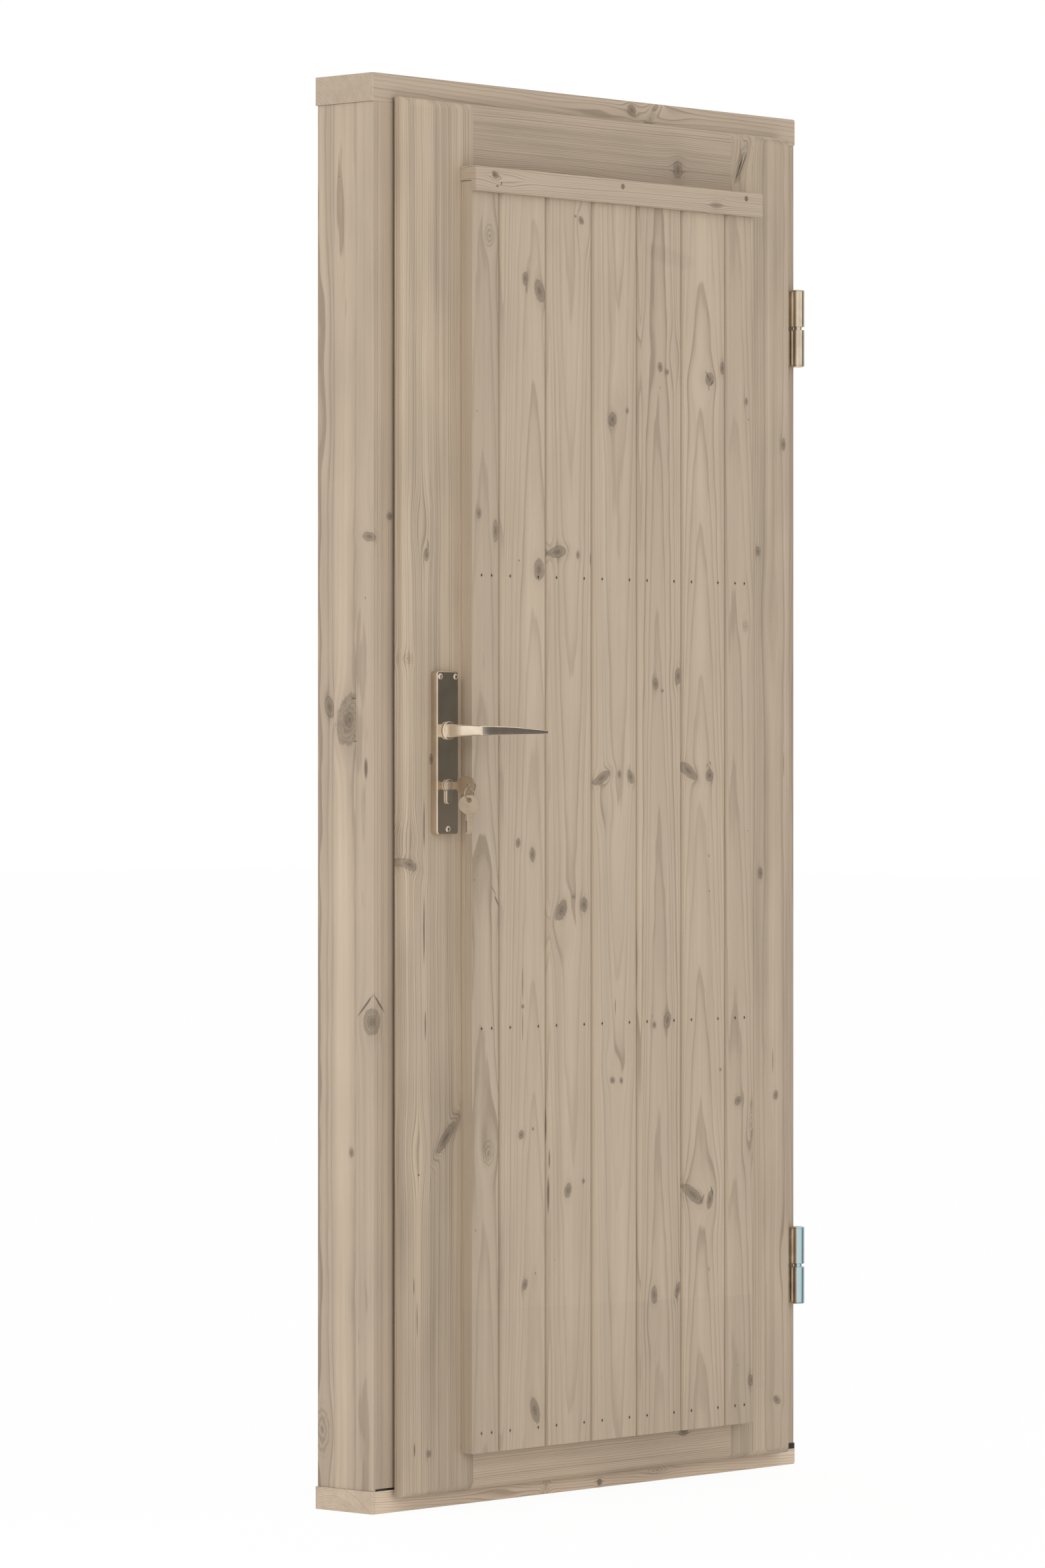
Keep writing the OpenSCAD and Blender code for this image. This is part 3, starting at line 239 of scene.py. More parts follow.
def timber(name, along, wide, piths, tone, seed, bounds=(), lights=(1.0,), knots=(), pockets=(),
           spacing=3.0, lean=0.0, contrast=1.0, ends=(0, 1), splice=None, swing=6.0, nails=None,
           joint=None, swirls=(), eyes=(), corner=None, fade=(0, 0, 1), figure=1.0, painted_light_depths=None,
           smudges=()):
    """Pine with growth rings round its pith, knots that turn them aside, fibres and resin pockets.

    along and wide name axes. piths has (wide, deep) of each lamella's pith; bounds are the joints
    between lamellas. A knot is (wide, along, half width, half height), in millimetres, then a tilt
    in degrees and the edges of its lamella, if need be. An eye is a pale knot, and a swirl bends only
    the grain. corner is where the next face begins, on to which knots run round. nails has the rows
    and columns of the nails, joint the edges within which the boards meet others and get
    painted shade deep in their V grooves, and fade the height below which the tone changes, over
    what length and by what factor. figure strengthens the streaks. painted_light_depths has the
    depths between which painted light makes the wood beside the leaf lighter, against the leaf's
    shade. A pocket is a short dark crack with resin, and a smudge a soft darker patch; both are
    written like knots.
    """
    finish = Finish(name)
    here = finish.place()
    parts = finish.split(here)
    run, across = parts[AXES[along]], parts[AXES[wide]]
    deep = parts[3 - AXES[along] - AXES[wide]]
    spread = across if corner is None else across - deep + corner
    face = finish.node("CombineXYZ", None, {0: spread, 1: run})

    def about(spots, kept=(1.0, 1.0)):
        """Places round each spot, in its own half widths, with the square of the distance."""
        for wide_at, along_at, half_w, half_h, *more in spots:
            near = face
            if more and more[0]:
                near = finish.node("VectorRotate", {"rotation_type": "Z_AXIS"}, {
                    "Vector": face, "Center": (wide_at, along_at, 0), "Angle": radians(more[0])})
            half_w, half_h = half_w * kept[0], half_h * kept[1]
            spot = finish.vector("MULTIPLY_ADD", near, (1 / half_w, 1 / half_h, 0),
                                 (-wide_at / half_w, -along_at / half_h, 0))
            square = finish.toward(spot, spot)
            if more[1:]:
                square = square + ((across < more[1]) + (across > more[2])) * 60
            yield wide_at, square

    # The knots push the grain aside as a post does a stream
    aside, stir = across, 0
    for wide_at, square in about([*knots, *eyes, *swirls], (1.35, 1.7)):
        push = 1 / (square * square + 1)
        aside, stir = aside - (spread - wide_at) * 0.86 * push, push + stir
    grain = finish.node("CombineXYZ", None, {0: aside, 1: run, 2: deep})

    slow = finish.split(finish.noise(grain, (1 / 190, 1 / 520, 1 / 190), seed * 3.1, 1.0, output=1))
    off_wide = aside + (slow[0] - 0.5) * swing * 2 - stepped(across, bounds, [p[0] for p in piths])
    off_deep = deep + (slow[1] - 0.5) * swing * 0.5 - stepped(across, bounds, [p[1] for p in piths])
    if lean:
        off_deep = off_deep - run * lean
    radius = (off_wide * off_wide + off_deep * off_deep).root()
    uneven = finish.node("TexNoise", {"noise_dimensions": "1D"},
                         {"W": radius * 0.10 + seed * 5.3, "Scale": 1.0, "Detail": 1.0})
    ripple = finish.noise(grain, (0.09, 0.012, 0.09), seed * 2.9, 1.0) - 0.5
    turn = (radius + uneven * 5.0 + ripple * 1.5) / spacing
    phase = turn.part()
    each_ring = finish.node("TexWhiteNoise", {"noise_dimensions": "1D"}, {"W": turn.whole()})
    late = (phase.rise(0.30, 0.95) * 0.45 + phase.rise(0.66, 0.88) * 0.55) * phase.fall(0.92, 1.0)
    late = late * (each_ring * 0.7 + 0.3)

    fibre = finish.noise(grain, (1.5, 0.025, 1.5), seed, 2.0, 0.6) - 0.5
    streak = finish.noise(grain, (0.17, 0.0016, 0.17), seed * 1.7, 2.0) - 0.5
    band = finish.noise(grain, (0.045, 0.0007, 0.045), seed * 4.7, 1.0) - 0.5
    cloud = finish.noise(grain, (0.02, 0.006, 0.02), seed * 2.3, 1.0) - 0.5

    early = linear([c * 1.02 for c in tone])
    dark = linear([tone[0] * 0.87, tone[1] * 0.855, tone[2] * 0.84])
    colour = finish.mix(late * (contrast * (1 + stir * 1.3)), early, dark)
    shade = 1 + fibre * 0.20 + (streak * 0.19 + band * 0.24 + cloud * 0.14) * figure
    # Painted light: between these depths the wood beside the leaf is made lighter, against the shade the leaf
    # casts
    if painted_light_depths:
        shade = shade * (deep.rise(painted_light_depths[0], painted_light_depths[1]) * 0.2 + 1)
    if len(set(lights)) > 1:
        shade = shade * stepped(across, bounds, lights)
    for bound in bounds:
        shade = shade * (1 - abs(across - bound).fall(0.15, 0.6) * 0.15)
    if splice:
        below, factor = splice
        shade = shade * ((run + fibre * 2.0 < below) * (factor - 1) + 1)
    middle, half = (ends[0] + ends[1]) / 2, (ends[1] - ends[0]) / 2
    shade = shade * (1 - abs(run - middle).rise(half - 1.2, half - 0.3) * 0.06)
    # Painted shade deep in the boards' V grooves, within the edges where the boards meet others
    if joint:
        inner = (across > joint[0]) * (across < joint[1])
        shade = shade * (1 - (deep - BOARD_FACE).rise(2.6, 4.9) * inner * 0.14)
    if nails:
        rows, columns = nails
        reach, side = (reduce(Value.least, [abs(value - stop) for stop in stops])
                       for value, stops in ((run, rows), (across, columns)))
        stain = (side * side * 0.45 + reach * reach * 0.16).fall(0.6, 2.6)
        shade = shade * (1 - stain * 0.24)

    relief = late * -0.5 + fibre * 0.9
    rough = 0.60 + fibre * 0.16 - late * 0.05
    if knots or eyes:
        coarse = tuple(0.10 if axis == along else 0.26 for axis in "xyz")
        ragged = finish.noise(here, coarse, seed * 0.9, 3.0) - 0.5

    def circled(spots, wander, closeness):
        """Distance from the nearest spot in its own half widths, and circles round it."""
        away = reduce(Value.least, [square for _, square in about(spots)]).root() + ragged * wander
        return away, ((away + fibre * 0.1) * closeness).sine() * 0.5 + 0.5

    if eyes:
        distance, circles = circled(eyes, 0.5, 17.0)
        inside = distance.fall(0.5, 1.4)
        shade = shade * (1 - inside * (circles * 0.27 + 0.02)) * (1 - distance.fall(0.0, 0.35) * 0.16)
    if knots:
        distance, circles = circled(knots, 0.6, 27.0)
        rim = abs(distance - 0.97).fall(0.03, 0.17) * (ragged + 0.8)
        heart = finish.mix(circles * 0.42 + distance.fall(0.0, 0.8) * 0.6 + ragged * 0.6,
                           linear(KNOT_TONE), linear(KNOT_HEART_TONE))
        colour = finish.mix(distance.fall(0.80, 1.06) * 0.88, colour, heart)
        shade = shade * (1 - distance.fall(0.8, 2.4) * 0.07) * (1 - rim * 0.36)
        relief = relief - rim * 0.8
    for _, square in about(pockets):
        colour = finish.mix((square + fibre * 1.4).fall(0.1, 1.2) * 0.75, colour, linear(RESIN_TONE))
    for _, square in about(smudges):
        shade = shade * (1 - (square + cloud).fall(0.1, 1.3) * 0.07)
    start, over, factor = fade
    if factor != 1:
        shade = shade * (run.fall(start - over / 2, start + over / 2) * (factor - 1) + 1)
    return finish.surface(finish.scaled(colour, shade), rough, relief, relief=0.16, strength=0.45)


def metal(name, tone, roughness, brushed=(1.3,) * 3, relief=0.01, wear=0.05, tint=None, low=None):
    """Satin or polished metal with faint brushing, smudges and tone drift.

    low has a height, over how much below it the finish changes, the added roughness and the tone
    there, which is a painted reflection. A fifth number keeps that painted reflection to the right of a plane.
    """
    finish = Finish(name)
    here = finish.place()
    height = finish.split(here)[2]
    smudge = finish.noise(here, (0.05,) * 3, 3.0, 3.0)
    fine = finish.noise(here, brushed, 9.0, 2.0)
    other = linear(tint or [c * 0.88 for c in tone])
    colour = finish.mix(smudge.rise(0.35, 0.7) * 0.8, linear(tone), other)
    rough = roughness + (smudge - 0.5) * wear + (fine - 0.5) * 0.02
    # Painted reflection: low down, the colour turns to the tone that the metal mirrors there
    if low:
        top, over, added, painted_reflection_tone, *right_of = low
        below = height.fall(top - over, top)
        rough = rough + below * added
        for plane in right_of:
            below = below * finish.toward(here, SIDEWAYS).rise(plane - 0.3, plane + 0.3)
        colour = finish.mix(below, colour, linear(painted_reflection_tone))
    return finish.surface(colour, rough, fine, metallic=1.0, relief=relief, strength=0.25)


def moulded(name, tone, roughness, scale, relief):
    """Rubber or plastic with a fine moulded grain and a little dust."""
    finish = Finish(name)
    here = finish.place()
    grain = finish.noise(here, (scale,) * 3, 4.0, 3.0)
    dust = finish.noise(here, (0.03, 0.03, 0.012), 7.0, 2.0)
    colour = finish.mix(dust.rise(0.45, 0.75) * 0.5, linear(tone), linear([c + 16 for c in tone]))
    return finish.surface(colour, roughness + (grain - 0.5) * 0.2, grain, relief=relief)


# -------- mesh helpers

def linked(name, data):
    """Object of a mesh, lamp or camera, in the scene."""
    made = bpy.data.objects.new(name, data)
    scene.collection.objects.link(made)
    return made


def evaluated(piece):
    """Plain mesh of an object with its modifiers carried out."""
    bpy.context.view_layer.update()
    return bpy.data.meshes.new_from_object(piece.evaluated_get(bpy.context.evaluated_depsgraph_get()))


def as_mesh(bm, name="part"):
    bmesh.ops.recalc_face_normals(bm, faces=bm.faces)
    mesh = bpy.data.meshes.new(name)
    bm.to_mesh(mesh)
    bm.free()
    return mesh


def settle(name, mesh, body, slot, material, *stands_for, angle=32):
    """Makes a piece of a mesh, puts it on its body and hides the CAD parts that it stands for.

    Its shading is smooth, but broken where faces meet at more than the angle.
    """
    if isinstance(mesh, bmesh.types.BMesh):
        mesh = as_mesh(mesh, name)
    mesh.materials.clear()
    mesh.materials.append(material)
    mesh.polygons.foreach_set("material_index", [0] * len(mesh.polygons))
    mesh.polygons.foreach_set("use_smooth", [True] * len(mesh.polygons))
    mesh.set_sharp_from_angle(angle=radians(angle))
    piece = linked(name, mesh)
    steady = piece.modifiers.new("flat faces stay flat", "WEIGHTED_NORMAL")
    steady.keep_sharp = True
    piece.data = evaluated(piece)
    piece.modifiers.remove(steady)
    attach(piece, body)
    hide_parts(*stands_for)


def eased(node, width, least, segments=2):
    """Copy of a CAD node. Its sharp arrises longer than least are eased by width, in millimetres."""
    bm = bmesh.new()
    bm.from_mesh(nodes[node].data)
    bmesh.ops.remove_doubles(bm, verts=bm.verts, dist=2e-6)
    bmesh.ops.dissolve_limit(bm, angle_limit=radians(0.6), verts=bm.verts, edges=bm.edges)
    sharp = [e for e in bm.edges if e.is_manifold and e.calc_length() > least / 1000
             and e.calc_face_angle(0) > radians(30)]
    bmesh.ops.bevel(bm, geom=sharp, offset=width / 1000, offset_type="OFFSET", segments=segments,
                    profile=0.5, affect="EDGES", clamp_overlap=True)
    return bm


def turned(bm, profile, origin, axis, segments=48, ring=False):
    """Solid of revolution. profile has (distance along the axis, radius) in millimetres."""
    axis = Vector(axis).normalized()
    first = Vector((0, 0, 1)) if abs(axis.z) < 0.9 else Vector((1, 0, 0))
    first = (first - axis * first.dot(axis)).normalized()
    second = axis.cross(first)
    rows = []
    for distance, radius in profile:
        centre = origin + axis * distance / 1000
        if radius < 1e-6:
            rows.append([bm.verts.new(centre)])
            continue
        rows.append([bm.verts.new(centre + (first * cos(a) + second * sin(a)) * radius / 1000)
                     for a in (2 * pi * i / segments for i in range(segments))])
    pairs = list(zip(rows, rows[1:])) + ([(rows[-1], rows[0])] if ring else [])
    for one, other in pairs:
        for i in range(segments):
            j = (i + 1) % segments
            corners = [one[i % len(one)], one[j % len(one)], other[j % len(other)], other[i % len(other)]]
            bm.faces.new(list(dict.fromkeys(corners)))
    return bm


def inset_outline(outline, inset):
    """Outline moved inwards by inset; it runs anticlockwise."""
    result = []
    for i in range(len(outline)):
        before, here, after = (Vector(outline[(i + step) % len(outline)]) for step in (-1, 0, 1))
        one, two = (here - before).normalized(), (after - here).normalized()
        joined = Vector((-one.y, one.x)) + Vector((-two.y, two.x))
        result.append(here + joined / max(joined.length_squared / 2, 0.35) * inset)
    return result


def skin(bm, rows):
    """Solid between rows of points, with a face on each end."""
    bm.faces.new(rows[0])
    bm.faces.new(rows[-1])
    count = len(rows[0])
    for one, other in zip(rows, rows[1:]):
        for i in range(count):
            bm.faces.new([one[i], one[(i + 1) % count], other[(i + 1) % count], other[i]])
    return bm


def pressed(bm, outline, steps, spot):
    """Solid on an outline: each step is (height, inset), and spot gives a point's place."""
    return skin(bm, [[bm.verts.new(spot(p[0], p[1], height)) for p in inset_outline(outline, inset)]
                     for height, inset in steps])


def rounded_steps(low, high, radius, both=True, count=4):
    """Heights and insets of a solid with rounded rims."""
    arc = [(radius * (1 - cos(a)), radius * (1 - sin(a)))
           for a in (pi / 2 * i / count for i in range(count + 1))]
    top = [(high - rise, inset) for inset, rise in arc]
    bottom = [(low + rise, inset) for inset, rise in reversed(arc)] if both else [(low, 0)]
    return bottom + top


def round_box(width, low, high, radius, count=6):
    """Outline of a rectangle with round corners, centred on the first axis."""
    corners = ((width / 2 - radius, high - radius, 0), (-width / 2 + radius, high - radius, 90),
               (-width / 2 + radius, low + radius, 180), (width / 2 - radius, low + radius, 270))
    return [(x + radius * cos(a), y + radius * sin(a)) for x, y, start in corners
            for a in (radians(start + 90 * i / count) for i in range(count + 1))]


def euro_outline(grow=0.0, count=36):
    """Outline of the lock cylinder, round above and a web with a round foot below."""
    radius, half, foot = 8.5 + grow, 5 + grow, -19.5
    meet = asin(half / radius)
    head = [(radius * sin(a), -radius * cos(a))
            for a in (meet + (2 * pi - 2 * meet) * i / count for i in range(count + 1))]
    low = [(-half * cos(a), foot + half * sin(a)) for a in (-pi * i / 12 for i in range(1, 12))]
    return [(x, y + LOCK_Z) for x, y in head + [(-half, foot)] + low + [(half, foot)]]


def cut(solid, *cutters):
    """Mesh of a solid with the cutters taken away."""
    host = linked("work", as_mesh(solid))
    helpers = [linked("tool", as_mesh(tool)) for tool in cutters]
    for helper in helpers:
        step = host.modifiers.new("cut", "BOOLEAN")
        step.operation, step.solver, step.object = "DIFFERENCE", "EXACT", helper
    result = evaluated(host)
    for spent in helpers + [host]:
        bpy.data.objects.remove(spent)
    return result


# -------- finishes of the wood

FRAME_TONE = (178, 161, 141)
BOARD_TONE = (182, 165, 144)
RAIL_TONE = (170, 153, 134)
STILE_TONE = (177, 160, 139)

wood = {}
# The jamb's front beside the leaf gets painted light, against the leaf's shade
wood["jamb_lock_side"] = timber(
    "pine jamb on the lock side", "z", "y", [(20, 190), (58, -150), (120, 120)], FRAME_TONE, 1,
    bounds=(32, 72), lights=(0.955, 1.03, 0.975), spacing=2.8, contrast=1.15, ends=(29.5, 1843), corner=2,
    figure=1.7, painted_light_depths=(17, 36),
    knots=[(8, 1275, 12, 6, -8), (-30, 1302, 5, 5), (45, 1036, 21, 32, -14, 32, 72),
           (80, 1053, 8, 14, 15, 72, 104), (3, 642, 15, 17, 0, -60, 32), (40, 470, 4, 6)],
    eyes=[(94, 104, 15, 32)], swirls=[(104, 1560, 14, 40), (104, 1415, 14, 30), (4, 1350, 8, 30)],
    pockets=[(14, 973, 3.6, 15), (15, 663, 2.0, 22, -44), (-10, 666, 1.9, 17, 40), (15, 1195, 1, 2),
             (63, 1748, 1, 1), (36, 1064, 4, 1.6), (34, 1008, 4, 1.4)])
wood["jamb_hinge_side"] = timber(
    "pine jamb on the hinge side", "z", "y", [(-60, 860), (55, 700), (150, 900)], FRAME_TONE, 2,
    bounds=(32, 72), lights=(0.98, 1.02, 0.99), spacing=2.8, contrast=1.1, ends=(29.5, 1843), figure=1.6,
    knots=[(58, 1330, 8, 14), (14, 700, 4, 6), (86, 1010, 7, 10), (50, 410, 9, 12)], swirls=[(52, 860, 12, 26)],
    pockets=[(66, 1580, 1, 16)])
wood["head"] = timber(
    "pine head", "x", "z", [(1815, 118)], (181, 164, 144), 3, spacing=2.5, lean=0.006, ends=(0, 850),
    knots=[(1868, 508, 7, 9, -30)], eyes=[(1858, 545, 7, 22, 55)],
    swirls=[(1860, 440, 8, 30), (1870, 580, 9, 26)])
# The sill's tone is lighter than the frame's: painted light against the shade it gets under the leaf's overhang
wood["sill"] = timber(
    "pine sill", "x", "z", [(-58, 70)], (212, 193, 171), 4, spacing=2.4, lean=0.03, ends=(0, 850),
    contrast=1.3, fade=(5, 8, 0.86), figure=1.3, swing=10, knots=[(7, 442, 5, 5)],
    eyes=[(12, 335, 6, 34, 78), (14, 560, 6, 22)], swirls=[(8, 240, 8, 26)],
    pockets=[(24, 195, 1, 7), (21, 590, 1, 6)])
wood["stile_lock_side"] = timber(
    "pine stile on the lock side", "z", "x", [(-60, 72), (190, 60)], STILE_TONE, 5, bounds=(83.4,),
    lights=(1.0, 0.945), spacing=2.6, contrast=1.25, ends=(20, 1850), fade=(1060, 500, 0.955), figure=2.5,
    knots=[(76, 1252, 4.5, 8, 8), (113, 488, 7, 26, 42, 83.4, 170), (80, 75, 4, 4.5), (44, 847, 14, 6, 24),
           (84, 985, 3, 7)],
    eyes=[(44, 1116, 7, 8)], swirls=[(66, 1290, 12, 26), (44, 880, 12, 14), (60, 470, 12, 26)],
    pockets=[(52, 296, 1.0, 12), (53, 82, 1.5, 11), (71, 900, 1.5, 36), (71, 761, 1.7, 50),
             (73.5, 636, 1.4, 22), (61, 441, 2, 2.2), (79, 1266, 0.9, 8, -12), (58, 250, 1.1, 26)])
wood["stile_hinge_side"] = timber(
    "pine stile on the hinge side", "z", "x", [(640, 10), (775, -95)], STILE_TONE, 6, bounds=(730.4,),
    lights=(0.985, 1.01), spacing=2.8, contrast=1.2, ends=(20, 1850), fade=(900, 600, 0.97), figure=2.2,
    knots=[(742, 1273, 4.5, 7), (796, 1423, 5, 8), (747, 828, 5, 8), (780, 519, 5, 6.5, 15),
           (782, 96, 8, 5, 30), (726, 1453, 2, 2)],
    eyes=[(705, 1806, 9, 36, 26)], swirls=[(775, 1180, 14, 40), (800, 300, 10, 30)],
    pockets=[(774, 566, 0.8, 19), (797, 980, 0.8, 20), (702, 1800, 1.6, 24, 24), (711, 1808, 1.2, 20, 26)])
wood["rail_top"] = timber(
    "pine top rail", "x", "z", [(1850, -80), (1700, 30)], RAIL_TONE, 7, bounds=(1788,),
    spacing=2.4, contrast=1.5, lean=0.01, ends=(120, 730), knots=[(1790, 574, 12, 9)], figure=2.0,
    swirls=[(1762, 330, 9, 60)])
wood["rail_bottom"] = timber(
    "pine bottom rail", "x", "z", [(-40, 20)], (189, 171, 149), 8, spacing=2.5, contrast=1.7,
    lean=0.01, ends=(120, 730), figure=1.8, knots=[(66, 586, 5, 9)])
wood["rail_upper_middle"] = timber(
    "pine upper middle rail", "x", "z", [(1180, 60)], (180, 163, 143), 9, spacing=3, lean=0.02,
    ends=(120, 730), knots=[(1240, 300, 5, 9), (1212, 560, 4, 6)])
wood["rail_lower_middle"] = timber(
    "pine lower middle rail", "x", "z", [(690, 70)], (180, 163, 143), 10, spacing=3, lean=0.02,
    ends=(120, 730), knots=[(640, 420, 6, 9)])
wood["drip_cap"] = timber(
    "pine drip cap", "x", "z", [(1700, -40)], (182, 165, 145), 11, spacing=2.6, contrast=1.2,
    lean=-0.02, ends=(140.5, 720), knots=[(1754, 179, 4, 6)], eyes=[(1743, 622, 6, 12)],
    swirls=[(1750, 200, 8, 20)], pockets=[(1744, 190, 3, 1.6), (1740, 182, 1.6, 3)])

BOARDS = {
    1: dict(piths=[(163, 25)], lean=0.012, light=0.955, spacing=3.2,
        knots=[(155, 1308, 4.2, 6), (187, 1286, 5, 14)],
        eyes=[(175, 1675, 11, 17), (173, 466, 12, 19)],
        swirls=[(157, 828, 20, 34), (186, 800, 9, 18), (172, 500, 15, 30)],
        pockets=[(151, 1443, 1, 1.2), (152, 857, 1.1, 1.2), (146, 826, 1, 1.5), (183, 812, 0.9, 9, -35),
            (189, 798, 1.5, 9, -30), (148, 365, 0.8, 1.8)]),
    2: dict(piths=[(262, 20)], lean=0.014, contrast=0.85, light=1.0, spacing=3.4,
        knots=[(245, 1622, 5.5, 9), (273, 1607, 8.5, 15, -20), (272, 1237, 10, 14), (231, 874, 4.5, 6.5, 10),
            (259, 858, 5.5, 9.3), (240, 657, 2.6, 2.8), (237, 487, 5.6, 6, 20), (260, 494, 1.8, 2),
            (244, 288, 4.6, 7.5, 20), (264, 120, 8, 17, -18)],
        pockets=[(240, 687, 0.9, 24), (240, 632, 0.9, 22), (248, 1608, 0.8, 7), (233, 1248, 1.2, 2),
            (265, 302, 0.9, 2)]),
    3: dict(piths=[(335, 38)], lean=-0.010, contrast=0.8, light=1.0, spacing=3.0,
        knots=[(355, 1706, 4, 5.6, -20), (344, 1711, 2, 1.8), (308, 1261, 17, 7.5, -8), (349, 1258, 3.3, 5.3),
            (316, 783, 9, 15, 34), (361, 790, 7, 9.8), (340, 801, 2.8, 2.6), (329, 409, 6.6, 9.5, 18),
            (360, 420, 2.6, 2.6)],
        swirls=[(360, 1700, 12, 24), (320, 750, 16, 18)],
        pockets=[(374, 1253, 1.4, 11), (289, 500, 1.4, 26), (292, 404, 1.3, 28), (293, 452, 0.8, 14),
            (303, 318, 0.8, 0.9)]),
    4: dict(piths=[(430, -115)], lean=0.015, contrast=0.6, light=1.005, spacing=3.6,
        knots=[(418, 1442, 7.6, 9.5, 10), (448, 1455, 2.6, 2.8), (397, 960, 17, 6.6, -27),
            (432, 965, 3.2, 4.6), (455, 961, 6, 9.5, -25), (418, 553, 5, 4.2, 25), (436, 552, 3.2, 4.2, -10)],
        swirls=[(430, 1475, 12, 26), (424, 575, 14, 16), (405, 925, 14, 20)], pockets=[(424, 652, 0.8, 13)]),
    5: dict(piths=[(512, 12)], lean=0.009, contrast=1.2, light=0.99, spacing=2.9,
        knots=[(515, 1517, 4.6, 6.5, -10), (529, 1511, 4, 3.8), (506, 1087, 4.8, 7, -8), (520, 1078, 2.3, 1.8),
            (552, 1098, 7, 11, 10), (530, 631, 6.8, 10.8, 10), (503, 625, 3.8, 4), (503, 259, 6.4, 12),
            (551, 263, 5, 11, 20)],
        swirls=[(490, 1525, 13, 22), (545, 1530, 10, 20), (503, 225, 12, 24)], smudges=[(536, 1668, 54, 14, 8)],
        pockets=[(515, 1489, 0.8, 1.6), (500, 637, 0.8, 1)]),
    6: dict(piths=[(600, -130)], lean=-0.016, contrast=0.9, light=1.005, spacing=3.0,
        knots=[(617, 1505, 9, 9, -25), (644, 1521, 5, 8), (574, 969, 19, 7.5, 32), (617, 963, 8, 7.5, -20),
            (582, 392, 23, 8, 34), (618, 383, 6, 13, 18), (640, 560, 2, 2)],
        swirls=[(600, 1500, 16, 20), (600, 400, 20, 24)], smudges=[(536, 1668, 54, 14, 8)],
        pockets=[(612, 1511, 1.2, 6, -30), (622, 1500, 1.2, 5, 35), (616, 1492, 1, 4), (612, 977, 0.9, 4, 30),
            (619, 980, 0.9, 4, -30), (616, 853, 1, 3), (617, 805, 1, 2), (603, 385, 1, 8, 30),
            (622, 395, 1, 7, -20), (616, 288, 0.8, 4)]),
    7: dict(piths=[(668, 40)], lean=0.012, contrast=0.85, light=0.985, spacing=3.1,
        knots=[(694, 1478, 3, 5), (677, 516, 7.5, 5.5, -30), (704, 130, 5.5, 7.5)],
        eyes=[(693, 1168, 7, 9), (705, 482, 6, 20)], swirls=[(700, 455, 9, 18), (690, 1200, 9, 20)],
        pockets=[(676, 152, 0.9, 1), (699, 1453, 1, 1.4), (697, 887, 0.9, 1.2), (704, 508, 0.8, 10)]),
}
for number, facts in BOARDS.items():
    left, right = BOARD_EDGES[number - 1:number + 1]
    light = facts.pop("light")
    wood[f"board_{number}"] = timber(
        f"pine board {number}", "z", "x", facts.pop("piths"), [c * light for c in BOARD_TONE],
        12 + number, ends=(71, 1745.7), splice=(262 - 2 * number, 0.95 if number in (5, 7) else 0.975),
        nails=(NAIL_ROWS[:3], (left + NAIL_INSET, right - NAIL_INSET)),
        joint=(left + BOARD_LAP if number == 1 else 0, right - BOARD_LAP if number == 7 else 1000), **facts)

# -------- finishes of the rest

handle_metal = metal("satin nickel of the levers", (243, 237, 229), 0.14, (1.6, 1.6, 0.10), 0.004,
                     tint=(232, 223, 209))
# Painted reflection: the plates turn a lighter tone towards their foot
plate_metal = metal("satin nickel of the plates", (220, 210, 197), 0.12, (1.6, 1.6, 0.10), 0.004,
                    wear=0.04, tint=(210, 199, 184), low=(960, 60, 0.04, (229, 218, 205)))
# Painted reflection: the lower hinge's colour turns pale blue at its right, where it mirrors something pale
# blue
hinge_metal = metal("zinc on the hinges", (234, 226, 214), 0.25, (0.25, 0.25, 2.2), tint=(215, 207, 196),
                    low=(1000, 300, 0.03, (196, 234, 255), 552.5))
lock_metal = metal("nickel on the lock", (240, 234, 225), 0.17, (1.2, 1.2, 0.2), 0.006)
screw_metal = metal("zinc on the screws", (232, 226, 218), 0.22, (3.0,) * 3, 0.004)
dull_zinc = metal("dull zinc on the drip cap's screws", (206, 188, 165), 0.5)
key_finish = metal("rolled key metal", (192, 180, 166), 0.22, (0.9, 0.9, 0.3), tint=(176, 163, 149))
ring_metal = metal("drawn ring wire", (236, 229, 219), 0.15, (2.0,) * 3, 0.004)
iron = metal("dark iron of the nails", (126, 112, 97), 0.45, (2.5,) * 3, 0.02)
case_metal = metal("sheet steel of the lock case", (150, 146, 138), 0.38, (0.4, 0.4, 1.5), 0.02)
seal_rubber = moulded("brown seal", (112, 99, 86), 0.62, 1.8, 0.05)
# Black of the packers: partly their own colour, partly painted shade of the gaps under the jambs
packer_plastic = moulded("black packers", (34, 32, 31), 0.5, 1.2, 0.08)

for node, finish in {
    "lock_case": case_metal, "lock_cover": case_metal, "cylinder_cam": iron,
    "spindle": lock_metal, "follower": case_metal, "latch_bolt": lock_metal, "dead_bolt": lock_metal,
    "cylinder_screw": screw_metal, "hinge_pins": hinge_metal,
}.items():
    nodes[node].data.materials.clear()
    nodes[node].data.materials.append(finish)

# -------- frame and leaf

# Width of the eased arrises, and the length from which an edge gets one
for work, body, width, least, members in (
        ("eased_", "frame", 0.9, 12, ("head", "sill", "jamb_lock_side", "jamb_hinge_side")),
        ("eased_", "leaf", 1.1, 12, ("stile_lock_side", "stile_hinge_side")),
        ("eased_", "leaf", 0.5, 12, ("rail_top", "rail_bottom")),
        ("eased_", "leaf", 0.7, 12, ("rail_upper_middle", "rail_lower_middle")),
        ("planed_", "leaf", 0.6, 12, [f"board_{number}" for number in BOARDS]),
        ("planed_", "leaf", 0.5, 5, ("drip_cap",))):
    for node in members:
        settle(work + node, eased(node, width, least), body, "timber", wood[node], node)

